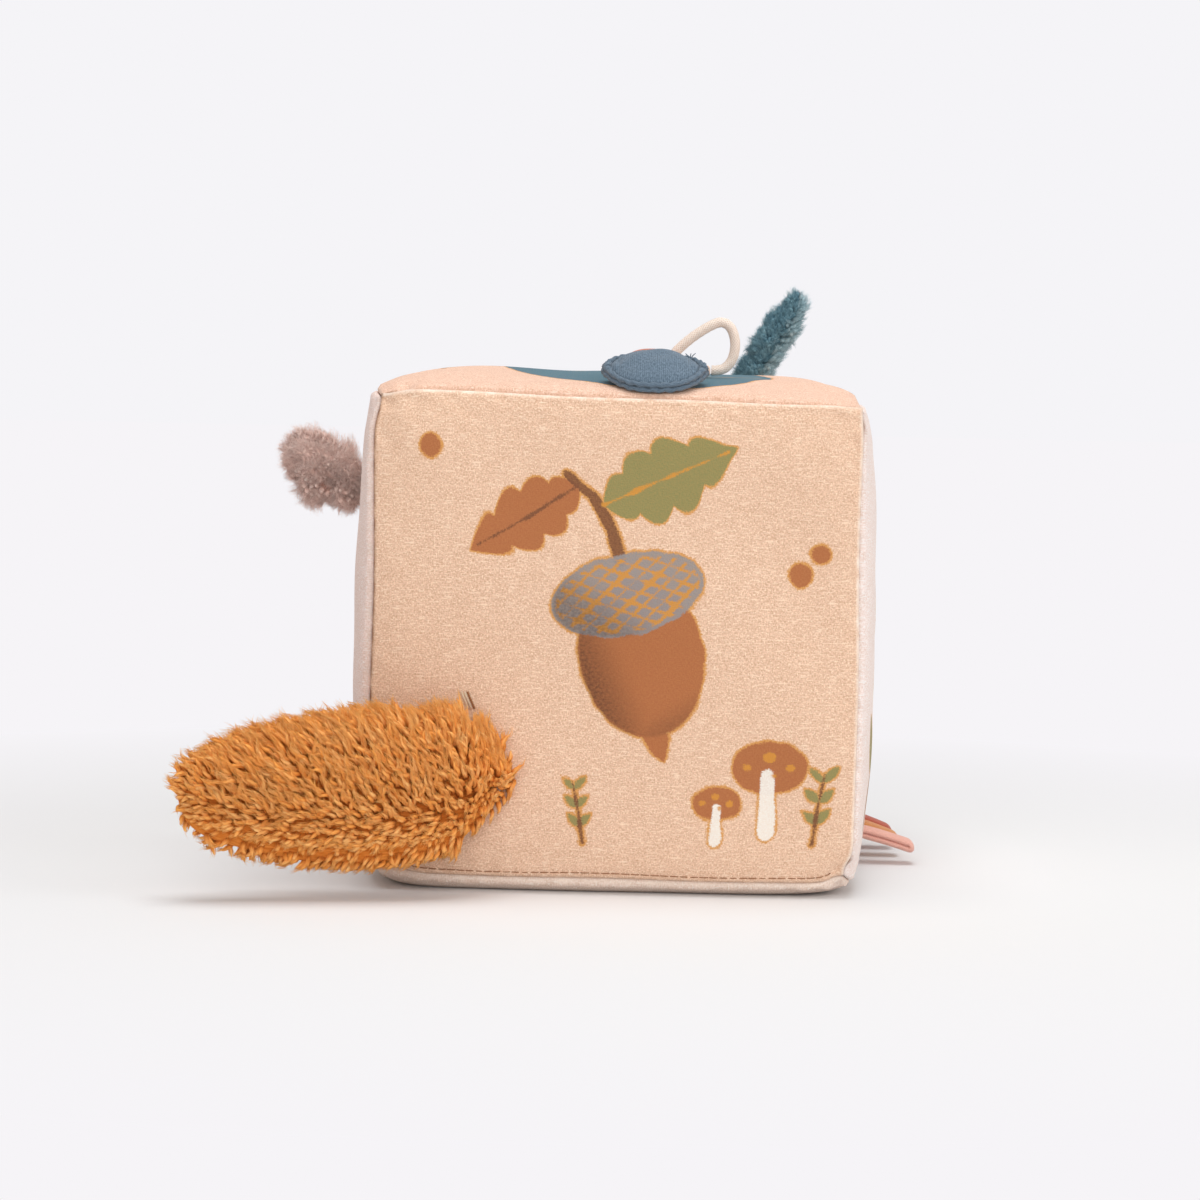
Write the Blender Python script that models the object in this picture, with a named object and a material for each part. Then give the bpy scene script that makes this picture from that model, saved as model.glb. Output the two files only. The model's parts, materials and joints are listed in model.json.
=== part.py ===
"""A soft fabric activity cube with three stuffed tails, a padded flap, a cord loop and three ribbon loops.

Metres, +Z up. The cube stands on its bottom face with the origin at the centre of that face. Its front
looks along -Y. Every piece is one closed solid, and pieces that touch on the real cube lie SEAM_GAP apart.
"""

from dataclasses import dataclass
from math import asin, cos, inf, pi, radians, sin, sqrt

import bmesh
import bpy
from mathutils import Euler, Vector

# The cube, measured from seam to seam.
CUBE_WIDTH = 0.140
CUBE_DEPTH = 0.140
CUBE_HEIGHT = 0.1375
SEAM_LIFT = 0.0045
CLOTH = 0.0012
SEAM_GAP = 0.0003

# How far the filling pushes each face out at its middle, and how squarely it fills its face.
SIDE_CROWN = 0.008
FRONT_CROWN = 0.006
TOP_CROWN = 0.008
BOTTOM_CROWN = 0.009
CROWN_POWER = 0.4
PANEL_STEPS = 6

# Points nearer than this share of a seam gap are one point, and sharper edges than this stay sharp.
WELD_SHARE = 0.1
SHARP_EDGE_DEGREES = 40.0

# The rattle at the heart of the filling.
CAPSULE_DIAMETER = 0.032
CAPSULE_WALL = 0.0016
CAPSULE_STEPS = 8
BEAD_DIAMETER = 0.006
BEAD_RING_DIAMETER = 0.0135
BEADS_IN_RING = 4

# Stuffed tails: what all three share.
PILE = 0.0022
TAIL_SIDES = 10
LEAST_FILLED_SHARE = 2.5
ROOT_FLARE_SHARE = 2.0

# The brown tail on the front face.
BROWN_TAIL_LENGTH = 0.0940
BROWN_TAIL_BREADTH = 0.0420
BROWN_TAIL_THICKNESS = 0.0190
BROWN_TAIL_REACH = 0.0260
BROWN_TAIL_DROP = 0.0053
BROWN_TAIL_ROOT_RADIUS = 0.0015
BROWN_TAIL_ROOT_SETBACK = 0.0390
BROWN_TAIL_ROOT_X = BROWN_TAIL_ROOT_SETBACK - CUBE_WIDTH / 2
BROWN_TAIL_ROOT_Z = 0.0370

# The grey tail on the left face.
GREY_TAIL_LENGTH = 0.0260
GREY_TAIL_BREADTH = 0.0200
GREY_TAIL_THICKNESS = 0.0150
GREY_TAIL_RISE = 0.0095
GREY_TAIL_ROOT_RADIUS = 0.0015
GREY_TAIL_ROOT_Y = 0.0050
GREY_TAIL_ROOT_DROP = 0.0290

# The blue tail on the back face, standing up past the top edge.
BLUE_TAIL_LENGTH = 0.0390
BLUE_TAIL_BREADTH = 0.0105
BLUE_TAIL_THICKNESS = 0.0085
BLUE_TAIL_REACH = 0.0030
BLUE_TAIL_LEAN = 0.0205
BLUE_TAIL_ROOT_RADIUS = 0.0012
BLUE_TAIL_ROOT_SETBACK = 0.0350
BLUE_TAIL_ROOT_X = CUBE_WIDTH / 2 - BLUE_TAIL_ROOT_SETBACK
BLUE_TAIL_ROOT_DROP = 0.0030
BLUE_TAIL_PILE = 0.0014

# The padded flap on the top face, hinged on the coral pad behind it.
FLAP_X = 0.0103
FLAP_WIDTH = 0.0285
FLAP_LENGTH = 0.0210
FLAP_CROWN = 0.0036
FLAP_BELLY = 0.0018
FLAP_CLOTH = 0.0008
FLAP_RIM_DIAMETER = 0.0022
FLAP_END_CURL = 0.0018
FLAP_FRONT_SETBACK = 0.0013
FLAP_POINT_POWER = 0.35
FLAP_RINGS = 4
FLAP_SIDES = 28
FLAP_RIM_SIDES = 8

# The coral pad, set back from the front seam.
PAD_WIDTH = 0.0190
PAD_DEPTH = 0.0150
PAD_HEIGHT = 0.0100
PAD_SETBACK = 0.0270
PAD_Y = PAD_SETBACK - CUBE_DEPTH / 2
PAD_SEAT_LIFT = 0.0079
PAD_STEPS = 10

# The cream cord loop and the tab that holds its ends, set back behind the pad.
CORD_DIAMETER = 0.0030
ANCHOR_X = 0.0205
ANCHOR_SETBACK = 0.0378
ANCHOR_Y = ANCHOR_SETBACK - CUBE_DEPTH / 2
ANCHOR_WIDTH = 0.0120
ANCHOR_DEPTH = 0.0070
ANCHOR_HEIGHT = 0.0036
ANCHOR_ROUNDING = 0.0008
ANCHOR_ROUNDING_STEPS = 2
CORD_STEPS = 24
CORD_RESOLUTION = 2
CORD_START_INSET = 0.0030
CORD_END_HEIGHT = 0.0020

# The three ribbon loops on the right face, the first set forward from the back seam.
FIRST_RIBBON_SETBACK = 0.0580
FIRST_RIBBON_Y = CUBE_DEPTH / 2 - FIRST_RIBBON_SETBACK
RIBBON_WIDTH = 0.0100
RIBBON_THICKNESS = 0.0020
RIBBON_SLIT = 0.0004
RIBBON_DROOP = 0.0040
RIBBON_DROOP_POWER = 1.2
RIBBON_PINCH_LENGTH = 0.0040
RIBBON_ROOT_Z = 0.0100
RIBBON_ROOT_RADIUS = 0.0011
RIBBON_ROOT_OVERHANG = 0.0005
RIBBON_CUT_END_SHARE = 0.85
PINK_RIBBON_LENGTH = 0.0180
OCHRE_RIBBON_LENGTH = 0.0145
RED_RIBBON_LENGTH = 0.0140
RIBBON_PITCH = 0.0180
RIBBON_STEPS = 7
RIBBON_TIP_STEPS = 5

# The thread bars that tack the brown tail to the front face.
TACK_DIAMETER = 0.0007
TACK_LENGTH = 0.0050
TACK_PITCH = 0.0016
TACK_SETBACK = 0.0270
TACK_X = TACK_SETBACK - CUBE_WIDTH / 2
TACK_Z = 0.0577
TACK_COUNT = 3
TACK_SIDES = 8
TACK_LEAN_DEGREES = 25.0

# A body's outline at stations along its length: where the station is, then its breadth, its thickness, how
# far it stands off its root and how far it has swayed, each as a share of that tail's own size.
BROWN_STATION_SHARES = (
    (0.03, 0.60, 0.30, 0.00, 0.00),
    (0.06, 0.78, 0.45, 0.15, 0.12),
    (0.12, 0.90, 0.68, 0.27, 0.30),
    (0.30, 0.98, 0.97, 0.42, 0.62),
    (0.42, 1.00, 1.00, 0.50, 0.74),
    (0.60, 0.93, 0.95, 0.63, 0.86),
    (0.75, 0.78, 0.82, 0.76, 0.94),
    (0.87, 0.60, 0.66, 0.88, 0.98),
    (0.95, 0.42, 0.48, 0.95, 1.00),
    (1.00, 0.20, 0.24, 1.00, 1.00),
)
GREY_STATION_SHARES = (
    (0.08, 0.74, 0.30, 0.00, 0.02),
    (0.16, 0.80, 0.42, 0.00, 0.10),
    (0.32, 0.92, 0.72, 0.00, 0.30),
    (0.52, 1.00, 0.96, 0.00, 0.55),
    (0.68, 0.98, 1.00, 0.00, 0.75),
    (0.84, 0.78, 0.80, 0.00, 0.90),
    (0.94, 0.50, 0.52, 0.00, 0.97),
    (1.00, 0.18, 0.18, 0.00, 1.00),
)
BLUE_STATION_SHARES = (
    (0.05, 0.80, 0.40, 0.00, 0.02),
    (0.12, 0.86, 0.62, 0.35, 0.10),
    (0.28, 1.00, 0.92, 0.70, 0.28),
    (0.50, 1.00, 1.00, 0.90, 0.52),
    (0.72, 0.96, 0.96, 1.00, 0.76),
    (0.88, 0.76, 0.76, 1.00, 0.92),
    (0.96, 0.50, 0.50, 1.00, 0.98),
    (1.00, 0.20, 0.20, 1.00, 1.00),
)

# The cord loop's route above the top face, seen from the front: steps right, back and up from the anchor's
# middle, in metres.
CORD_ROUTE = (
    (-0.0030, 0.0000, 0.0072),
    (0.0015, 0.0004, 0.0116),
    (0.0068, 0.0008, 0.0152),
    (0.0106, 0.0010, 0.0163),
    (0.0134, 0.0010, 0.0144),
    (0.0146, 0.0009, 0.0100),
    (0.0138, 0.0007, 0.0056),
    (0.0112, 0.0004, 0.0028),
)

CUBE_MIDDLE = Vector((0.0, 0.0, SEAM_LIFT + CUBE_HEIGHT / 2))
BACKWARD = Vector((0.0, 1.0, 0.0))
RIGHTWARD = Vector((1.0, 0.0, 0.0))
UPWARD = Vector((0.0, 0.0, 1.0))


@dataclass(frozen=True)
class Face:
    """One face of the cube: its axes, the half sizes along them, its crown and where that is clipped flat."""

    across: Vector
    along: Vector
    outward: Vector
    half_across: float
    half_along: float
    half_through: float
    crown: float
    most_bulge: float = inf

    def bulge(self, u, v):
        """How far the cloth stands out at u, v, which run from -1 to 1 over the face."""
        fill = max(0.0, (1 - u * u) * (1 - v * v)) ** CROWN_POWER
        return min(self.crown * fill, self.most_bulge)

    def point(self, u, v, plane_inset=0.0, depth=0.0):
        """A point on the face, or on a layer depth below it that stops plane_inset short of its edges."""
        return (
            CUBE_MIDDLE
            + self.across * (u * (self.half_across - plane_inset))
            + self.along * (v * (self.half_along - plane_inset))
            + self.outward * (self.half_through - depth + self.bulge(u, v))
        )

    def surface_at(self, place):
        """The point of the face straight out from a place given in the cube's frame."""
        offset = place - CUBE_MIDDLE
        u = offset.dot(self.across) / self.half_across
        v = offset.dot(self.along) / self.half_along
        return self.point(u, v)


@dataclass(frozen=True)
class Tail:
    """A stuffed tail: two pile halves sewn round a filling. Its length runs along local +X from the root."""

    name: str
    station_shares: tuple
    length: float
    breadth: float
    thickness: float
    reach: float
    sway: float
    root_radius: float
    pile: float


def faces_of_cube():
    """The six faces, each with axes that turn right-handed about its outward one."""
    half_x, half_y, half_z = CUBE_WIDTH / 2, CUBE_DEPTH / 2, CUBE_HEIGHT / 2
    return {
        "front_panel": Face(RIGHTWARD, UPWARD, -BACKWARD, half_x, half_z, half_y, FRONT_CROWN),
        "back_panel": Face(-RIGHTWARD, UPWARD, BACKWARD, half_x, half_z, half_y, SIDE_CROWN),
        "left_panel": Face(-BACKWARD, UPWARD, -RIGHTWARD, half_y, half_z, half_x, SIDE_CROWN),
        "right_panel": Face(BACKWARD, UPWARD, RIGHTWARD, half_y, half_z, half_x, SIDE_CROWN),
        "top_panel": Face(RIGHTWARD, BACKWARD, UPWARD, half_x, half_y, half_z, TOP_CROWN),
        "bottom_panel": Face(
            RIGHTWARD, -BACKWARD, -UPWARD, half_x, half_y, half_z, BOTTOM_CROWN, SEAM_LIFT
        ),
    }


def material(name, colour, roughness=0.9):
    """The material of this name, made on its first use."""
    made = bpy.data.materials.get(name) or bpy.data.materials.new(name)
    made.use_nodes = True
    shader = made.node_tree.nodes["Principled BSDF"]
    shader.inputs["Base Color"].default_value = (*colour, 1.0)
    shader.inputs["Roughness"].default_value = roughness
    shader.inputs["Metallic"].default_value = 0.0
    return made


def add_object(name, mesh, finish=None):
    """A new object in the scene, with its finish if it has one."""
    made = bpy.data.objects.new(name, mesh)
    bpy.context.scene.collection.objects.link(made)
    if finish:
        mesh.materials.append(finish)
    return made


def mesh_from(shape, name):
    """The mesh of a bmesh whose faces have been turned outward."""
    bmesh.ops.recalc_face_normals(shape, faces=shape.faces)
    mesh = bpy.data.meshes.new(name)
    shape.to_mesh(mesh)
    shape.free()
    mesh.shade_smooth()
    mesh.set_sharp_from_angle(angle=radians(SHARP_EDGE_DEGREES))
    return mesh


def cutter(name, mesh):
    """A helper solid that only cuts others."""
    made = add_object(name, mesh)
    made.hide_render = True
    made.display_type = "WIRE"
    return made


def boolean(target, tool, operation):
    """Cuts one object with another, or joins them, as a live modifier."""
    modifier = target.modifiers.new(f"{operation.lower()}_{tool.name}", "BOOLEAN")
    modifier.operation = operation
    modifier.object = tool


def box_mesh(name, low, high):
    """A box between two opposite corners."""
    shape = bmesh.new()
    corners = bmesh.ops.create_cube(shape, size=1.0)["verts"]
    for corner in corners:
        corner.co = [(a + b) / 2 + share * (b - a) for a, b, share in zip(low, high, corner.co)]
    return mesh_from(shape, name)


def grid_stops():
    """Shares from -1 to 1 that lie closer together towards the seams, where a face curves most."""
    return [sin(pi / 2 * step / PANEL_STEPS) for step in range(-PANEL_STEPS, PANEL_STEPS + 1)]


def add_layer(shape, face, plane_inset, depth):
    """Adds one layer of a face to a bmesh as a grid, and returns its rows of vertices."""
    stops = grid_stops()
    rows = [[shape.verts.new(face.point(u, v, plane_inset, depth)) for u in stops] for v in stops]
    for low, high in zip(rows, rows[1:]):
        for step in range(len(stops) - 1):
            shape.faces.new((low[step], low[step + 1], high[step + 1], high[step]))
    return rows


def rim_of(rows):
    """The vertices round the edge of a grid, in order."""
    right = [row[-1] for row in rows[1:]]
    left = [row[0] for row in reversed(rows[1:-1])]
    return rows[0] + right + rows[-1][-2::-1] + left


def join_loops(shape, first, second):
    """Adds the band of faces between two closed loops of as many vertices."""
    for step, corner in enumerate(first):
        after = (step + 1) % len(first)
        shape.faces.new((corner, first[after], second[after], second[step]))


def make_panel(name, face, finish):
    """One face of the cube: a shell of cloth whose edges are mitred against its neighbours."""
    mitre = SEAM_GAP / sqrt(2)
    shape = bmesh.new()
    outer = add_layer(shape, face, mitre, 0.0)
    inner = add_layer(shape, face, mitre + CLOTH, CLOTH)
    join_loops(shape, rim_of(outer), rim_of(inner))
    return add_object(name, mesh_from(shape, name), finish)


def make_wadding(faces, finish):
    """The filling, in a lower and an upper block with a round pocket for the rattle between them."""
    inset = CLOTH + SEAM_GAP
    shape = bmesh.new()
    for face in faces.values():
        add_layer(shape, face, inset, inset)
    bmesh.ops.remove_doubles(shape, verts=shape.verts, dist=SEAM_GAP * WELD_SHARE)
    whole = mesh_from(shape, "wadding")
    reach = max(CUBE_WIDTH, CUBE_DEPTH, CUBE_HEIGHT)
    middle = CUBE_MIDDLE.z
    lower_box = box_mesh("cut_below", (-reach, -reach, middle - reach), (reach, reach, middle + SEAM_GAP / 2))
    upper_box = box_mesh("cut_above", (-reach, -reach, middle - SEAM_GAP / 2), (reach, reach, middle + reach))
    below = cutter("cut_below", lower_box)
    above = cutter("cut_above", upper_box)
    pocket = cutter("cut_pocket", sphere_mesh("cut_pocket", CAPSULE_DIAMETER / 2 + SEAM_GAP))
    pocket.location = CUBE_MIDDLE
    for name, removed in (("wadding_lower", above), ("wadding_upper", below)):
        block = add_object(name, whole.copy(), finish)
        boolean(block, removed, "DIFFERENCE")
        boolean(block, pocket, "DIFFERENCE")


def sphere_mesh(name, radius):
    """A ball as finely cut as the rattle's capsule."""
    shape = bmesh.new()
    bmesh.ops.create_uvsphere(shape, u_segments=2 * CAPSULE_STEPS, v_segments=CAPSULE_STEPS, radius=radius)
    return mesh_from(shape, name)


def make_capsule_half(name, side, finish):
    """Half of the rattle's shell, open at its parting face. side is -1 below and 1 above."""
    radius = CAPSULE_DIAMETER / 2
    start = SEAM_GAP / 2
    shape = bmesh.new()
    loops = []
    for wall_radius in (radius, radius - CAPSULE_WALL):
        base = start / wall_radius
        for step in range(CAPSULE_STEPS // 2):
            angle = pi / 2 * step / (CAPSULE_STEPS // 2)
            height = wall_radius * max(sin(angle), base)
            loops.append([
                shape.verts.new((wall_radius * cos(angle) * cos(turn), wall_radius * cos(angle) * sin(turn),
                                 side * height))
                for turn in turns(2 * CAPSULE_STEPS)
            ])
        pole = shape.verts.new((0.0, 0.0, side * wall_radius))
        fan(shape, loops[-1], pole)
    steps = CAPSULE_STEPS // 2
    for wall in (loops[:steps], loops[steps:]):
        for low, high in zip(wall, wall[1:]):
            join_loops(shape, low, high)
    join_loops(shape, loops[0], loops[steps])
    half = add_object(name, mesh_from(shape, name), finish)
    half.location = CUBE_MIDDLE
    return half


def turns(count):
    """Angles once round a circle."""
    return [2 * pi * step / count for step in range(count)]


def fan(shape, loop, tip):
    """Closes a loop of vertices onto one point."""
    for step, corner in enumerate(loop):
        shape.faces.new((corner, loop[(step + 1) % len(loop)], tip))


def make_beads(finish):
    """The loose beads, lying on the floor of the capsule: one in the middle and a ring round it."""
    reach = CAPSULE_DIAMETER / 2 - CAPSULE_WALL - SEAM_GAP - BEAD_DIAMETER / 2
    ring = BEAD_RING_DIAMETER / 2
    shape = bmesh.new()
    bmesh.ops.create_icosphere(shape, subdivisions=1, radius=BEAD_DIAMETER / 2)
    mesh = mesh_from(shape, "rattle_bead")
    mesh.materials.append(finish)
    places = [Vector((0.0, 0.0, -reach))]
    ring_height = -sqrt(reach * reach - ring * ring)
    places += [Vector((ring * cos(turn), ring * sin(turn), ring_height)) for turn in turns(BEADS_IN_RING)]
    for count, place in enumerate(places, 1):
        add_object(f"rattle_bead_{count}", mesh).location = CUBE_MIDDLE + place


def section_of(tail, station, inset, side):
    """One section of a tail, as points: all of it for side 0, or only the half beyond its parting plane."""
    at, breadth, thickness, reach, sway = station
    half_breadth = tail.breadth * breadth / 2 - inset
    half_thickness = tail.thickness * thickness / 2 - inset
    centre = Vector((tail.length * at - tail.root_radius, tail.reach * reach, tail.sway * sway))
    if side:
        angles = [-pi / 2 + pi * step / TAIL_SIDES for step in range(TAIL_SIDES + 1)]
        start = SEAM_GAP / 2
    else:
        angles = turns(2 * TAIL_SIDES)
        start = 0.0
        side = 1
    return [
        centre + Vector((0.0, side * (start + half_thickness * cos(turn)), half_breadth * sin(turn)))
        for turn in angles
    ]


def loft(name, sections):
    """A closed solid through sections of as many points each, with flat ends."""
    shape = bmesh.new()
    loops = [[shape.verts.new(point) for point in section] for section in sections]
    for low, high in zip(loops, loops[1:]):
        join_loops(shape, low, high)
    shape.faces.new(loops[0])
    shape.faces.new(loops[-1])
    return mesh_from(shape, name)


def body_stations(tail, inset):
    """The stations of a tail's body, or those of the body inside it that are thick enough for its inset."""
    rooted = [(0.0, *tail.station_shares[0][1:]), *tail.station_shares]
    if not inset:
        ends = tail.root_radius / tail.thickness
        rooted[0] = (0.0, rooted[0][1], ends, *rooted[0][3:])
        rooted[1] = (rooted[1][0], rooted[1][1], ROOT_FLARE_SHARE * ends, *rooted[1][3:])
        return rooted
    thin = LEAST_FILLED_SHARE * inset
    return [
        station
        for station in rooted
        if tail.thickness * station[2] > thin and tail.breadth * station[1] > thin
    ]


def make_tail(tail, pile_names, hinge, pile_finish, fill_finish):
    """The two pile halves and the filling of a tail, on the empty that marks its hinge."""
    whole = [section_of(tail, station, tail.pile, 0) for station in body_stations(tail, tail.pile)]
    pocket = cutter(f"cut_{tail.name}", loft(f"cut_{tail.name}", whole))
    pocket.parent = hinge
    for name, side in zip(pile_names, (1, -1)):
        sections = [section_of(tail, station, 0.0, side) for station in body_stations(tail, 0.0)]
        half = add_object(name, loft(name, sections), pile_finish)
        half.parent = hinge
        boolean(half, pocket, "DIFFERENCE")
    inset = tail.pile + SEAM_GAP
    sections = [section_of(tail, station, inset, 0) for station in body_stations(tail, tail.pile)]
    sections[0] = [point + RIGHTWARD * SEAM_GAP for point in sections[0]]
    sections[-1] = [point - RIGHTWARD * SEAM_GAP for point in sections[-1]]
    filling = add_object(f"{tail.name}_filling", loft(f"{tail.name}_filling", sections), fill_finish)
    filling.parent = hinge


def hinge_empty(name, place, rotation):
    """The empty that marks a joint: its children turn about one of its axes."""
    empty = bpy.data.objects.new(name, None)
    bpy.context.scene.collection.objects.link(empty)
    empty.location = place
    empty.rotation_euler = rotation
    return empty


def root_place(face, tail, root, along):
    """Where a tail's hinge lies: clear of the fullest of the three face points behind its root."""
    half = along * (tail.breadth * tail.station_shares[0][1] / 2)
    seats = [face.surface_at(root + half * side) for side in (-1, 0, 1)]
    stand_out = max((seat - CUBE_MIDDLE).dot(face.outward) for seat in seats)
    within_face = (root - CUBE_MIDDLE) - face.outward * (root - CUBE_MIDDLE).dot(face.outward)
    return CUBE_MIDDLE + within_face + face.outward * (stand_out + SEAM_GAP + tail.root_radius)


def make_brown_tail(faces, finish, filling):
    """The big tail: its root is sewn upright on the front face, and its length lies along that face."""
    tail = Tail("brown_tail", BROWN_STATION_SHARES, BROWN_TAIL_LENGTH, BROWN_TAIL_BREADTH,
                BROWN_TAIL_THICKNESS, BROWN_TAIL_REACH, -BROWN_TAIL_DROP, BROWN_TAIL_ROOT_RADIUS, PILE)
    root = Vector((BROWN_TAIL_ROOT_X, 0.0, BROWN_TAIL_ROOT_Z))
    place = root_place(faces["front_panel"], tail, root, UPWARD)
    hinge = hinge_empty("brown_tail_hinge", place, Euler((0.0, 0.0, pi)))
    make_tail(tail, ("brown_tail_front_pile", "brown_tail_back_pile"), hinge, finish, filling)


def make_grey_tail(faces, finish, filling):
    """The middle tail: it stands straight out of the left face and rises towards its tip."""
    tail = Tail("grey_tail", GREY_STATION_SHARES, GREY_TAIL_LENGTH, GREY_TAIL_BREADTH, GREY_TAIL_THICKNESS,
                0.0, GREY_TAIL_RISE, GREY_TAIL_ROOT_RADIUS, PILE)
    root = Vector((0.0, GREY_TAIL_ROOT_Y, SEAM_LIFT + CUBE_HEIGHT - GREY_TAIL_ROOT_DROP))
    place = root_place(faces["left_panel"], tail, root, UPWARD)
    hinge = hinge_empty("grey_tail_hinge", place, Euler((0.0, 0.0, pi)))
    make_tail(tail, ("grey_tail_front_pile", "grey_tail_back_pile"), hinge, finish, filling)


def make_blue_tail(faces, finish, filling):
    """The small tail: its root is sewn level on the back face just below the top seam, and it stands up."""
    tail = Tail("blue_tail", BLUE_STATION_SHARES, BLUE_TAIL_LENGTH, BLUE_TAIL_BREADTH, BLUE_TAIL_THICKNESS,
                BLUE_TAIL_REACH, -BLUE_TAIL_LEAN, BLUE_TAIL_ROOT_RADIUS, BLUE_TAIL_PILE)
    root = Vector((BLUE_TAIL_ROOT_X, 0.0, SEAM_LIFT + CUBE_HEIGHT - BLUE_TAIL_ROOT_DROP))
    place = root_place(faces["back_panel"], tail, root, RIGHTWARD)
    hinge = hinge_empty("blue_tail_hinge", place, Euler((0.0, -pi / 2, 0.0)))
    make_tail(tail, ("blue_tail_back_pile", "blue_tail_front_pile"), hinge, finish, filling)


def flap_outline(inset):
    """The flap's outline in its own plane: a lens with its rear edge on the hinge and pointed ends."""
    points = []
    half_width = FLAP_WIDTH / 2 - inset
    half_length = FLAP_LENGTH / 2 - inset
    for turn in turns(FLAP_SIDES):
        lens = half_length * sin(turn) * abs(sin(turn)) ** FLAP_POINT_POWER
        points.append(Vector((half_width * cos(turn), FLAP_LENGTH / 2 + FLAP_RIM_DIAMETER / 2 + lens, 0.0)))
    return points


def curled(point):
    """A point of the flap after its two ends have curled up."""
    share = point.x / (FLAP_WIDTH / 2)
    return point + UPWARD * (FLAP_END_CURL * share * share)


def lens_solid(name, outline, top, bottom):
    """A solid over an outline between two domes, each given as its height at a share of the way in."""
    middle = sum(outline, Vector()) / len(outline)
    shape = bmesh.new()
    layers = []
    for height in (top, bottom):
        rings = []
        for ring in range(FLAP_RINGS):
            share = ring / FLAP_RINGS
            rise = UPWARD * height(share)
            rings.append([shape.verts.new(curled(point.lerp(middle, share) + rise)) for point in outline])
        for low, high in zip(rings, rings[1:]):
            join_loops(shape, low, high)
        fan(shape, rings[-1], shape.verts.new(curled(middle + UPWARD * height(1.0))))
        layers.append(rings[0])
    join_loops(shape, *layers)
    return mesh_from(shape, name)


def make_flap(faces, finish, filling):
    """The padded flap: two covers, the wadding between them and the rolled rim round them."""
    rim = FLAP_RIM_DIAMETER / 2
    pad_top = PAD_SEAT_LIFT / PAD_HEIGHT
    pad_base = faces["top_panel"].surface_at(Vector((FLAP_X, PAD_Y, 0.0)))
    hinge_y = PAD_Y - PAD_DEPTH / 2 * sqrt(1 - pad_top * pad_top) - SEAM_GAP - rim
    hinge_z = pad_base.z + PAD_SEAT_LIFT
    front_y = -CUBE_DEPTH / 2 + FLAP_FRONT_SETBACK
    front_z = faces["top_panel"].surface_at(Vector((FLAP_X, front_y, 0.0))).z + SEAM_GAP + rim
    tilt = asin((hinge_z - front_z) / (FLAP_LENGTH + FLAP_RIM_DIAMETER))
    place = Vector((FLAP_X, hinge_y, hinge_z))
    hinge = hinge_empty("blue_flap_hinge", place, Euler((-tilt, 0.0, pi)))

    def dome(base, crown):
        return lambda share: base + crown * sin(pi / 2 * share)

    half_gap = SEAM_GAP / 2
    outline = flap_outline(SEAM_GAP)
    fill_outline = flap_outline(2 * FLAP_CLOTH + SEAM_GAP)
    edge = FLAP_CLOTH + half_gap
    covers = (
        ("blue_flap_upper_cover", outline, dome(edge, FLAP_CROWN), dome(half_gap, FLAP_CROWN), finish),
        ("blue_flap_lower_cover", outline, dome(-half_gap, -FLAP_BELLY), dome(-edge, -FLAP_BELLY), finish),
        ("blue_flap_wadding", fill_outline, dome(0.0, FLAP_CROWN - SEAM_GAP),
         dome(-half_gap, SEAM_GAP - FLAP_BELLY), filling),
    )
    for name, shape_outline, top, bottom, cloth in covers:
        made = add_object(name, lens_solid(name, shape_outline, top, bottom), cloth)
        made.parent = hinge
    rim_object = add_object("blue_flap_rolled_rim", rolled_rim(rim), finish)
    rim_object.parent = hinge


def rolled_rim(radius):
    """The rolled rim: a closed tube round the flap's outline."""
    path = [curled(point) for point in flap_outline(-radius)]
    shape = bmesh.new()
    loops = []
    for step, point in enumerate(path):
        along = (path[(step + 1) % len(path)] - path[step - 1]).normalized()
        outward = along.cross(UPWARD).normalized()
        upright = outward.cross(along)
        loops.append([
            shape.verts.new(point + radius * (outward * cos(turn) + upright * sin(turn)))
            for turn in turns(FLAP_RIM_SIDES)
        ])
    for step, loop in enumerate(loops):
        join_loops(shape, loop, loops[(step + 1) % len(loops)])
    return mesh_from(shape, "blue_flap_rolled_rim")


def make_pad(faces, finish):
    """The coral pad behind the flap: a stuffed dome that lies on the top face."""
    shape = bmesh.new()
    loops = []
    top = faces["top_panel"]
    for step in range(PAD_STEPS // 2):
        angle = pi / 2 * step / (PAD_STEPS // 2)
        loop = []
        for turn in turns(2 * PAD_STEPS):
            place = Vector((FLAP_X + PAD_WIDTH / 2 * cos(angle) * cos(turn),
                            PAD_Y + PAD_DEPTH / 2 * cos(angle) * sin(turn), 0.0))
            seat = top.surface_at(place)
            loop.append(shape.verts.new(seat + UPWARD * (SEAM_GAP + PAD_HEIGHT * sin(angle))))
        loops.append(loop)
    for low, high in zip(loops, loops[1:]):
        join_loops(shape, low, high)
    peak = top.surface_at(Vector((FLAP_X, PAD_Y, 0.0)))
    fan(shape, loops[-1], shape.verts.new(peak + UPWARD * (SEAM_GAP + PAD_HEIGHT)))
    fan(shape, loops[0], shape.verts.new(peak + UPWARD * SEAM_GAP))
    return add_object("coral_pad", mesh_from(shape, "coral_pad"), finish)


def smooth_route(points, steps):
    """Points read from a smooth curve through a route's own points."""
    padded = [2 * points[0] - points[1], *points, 2 * points[-1] - points[-2]]
    spans = len(points) - 1
    route = []
    for step in range(steps + 1):
        span = min(int(spans * step / steps), spans - 1)
        t = spans * step / steps - span
        before, start, end, after = padded[span:span + 4]
        route.append((
            2 * start + (end - before) * t
            + (2 * before - 5 * start + 4 * end - after) * t * t
            + (3 * start - before - 3 * end + after) * t ** 3
        ) / 2)
    return route


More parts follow.
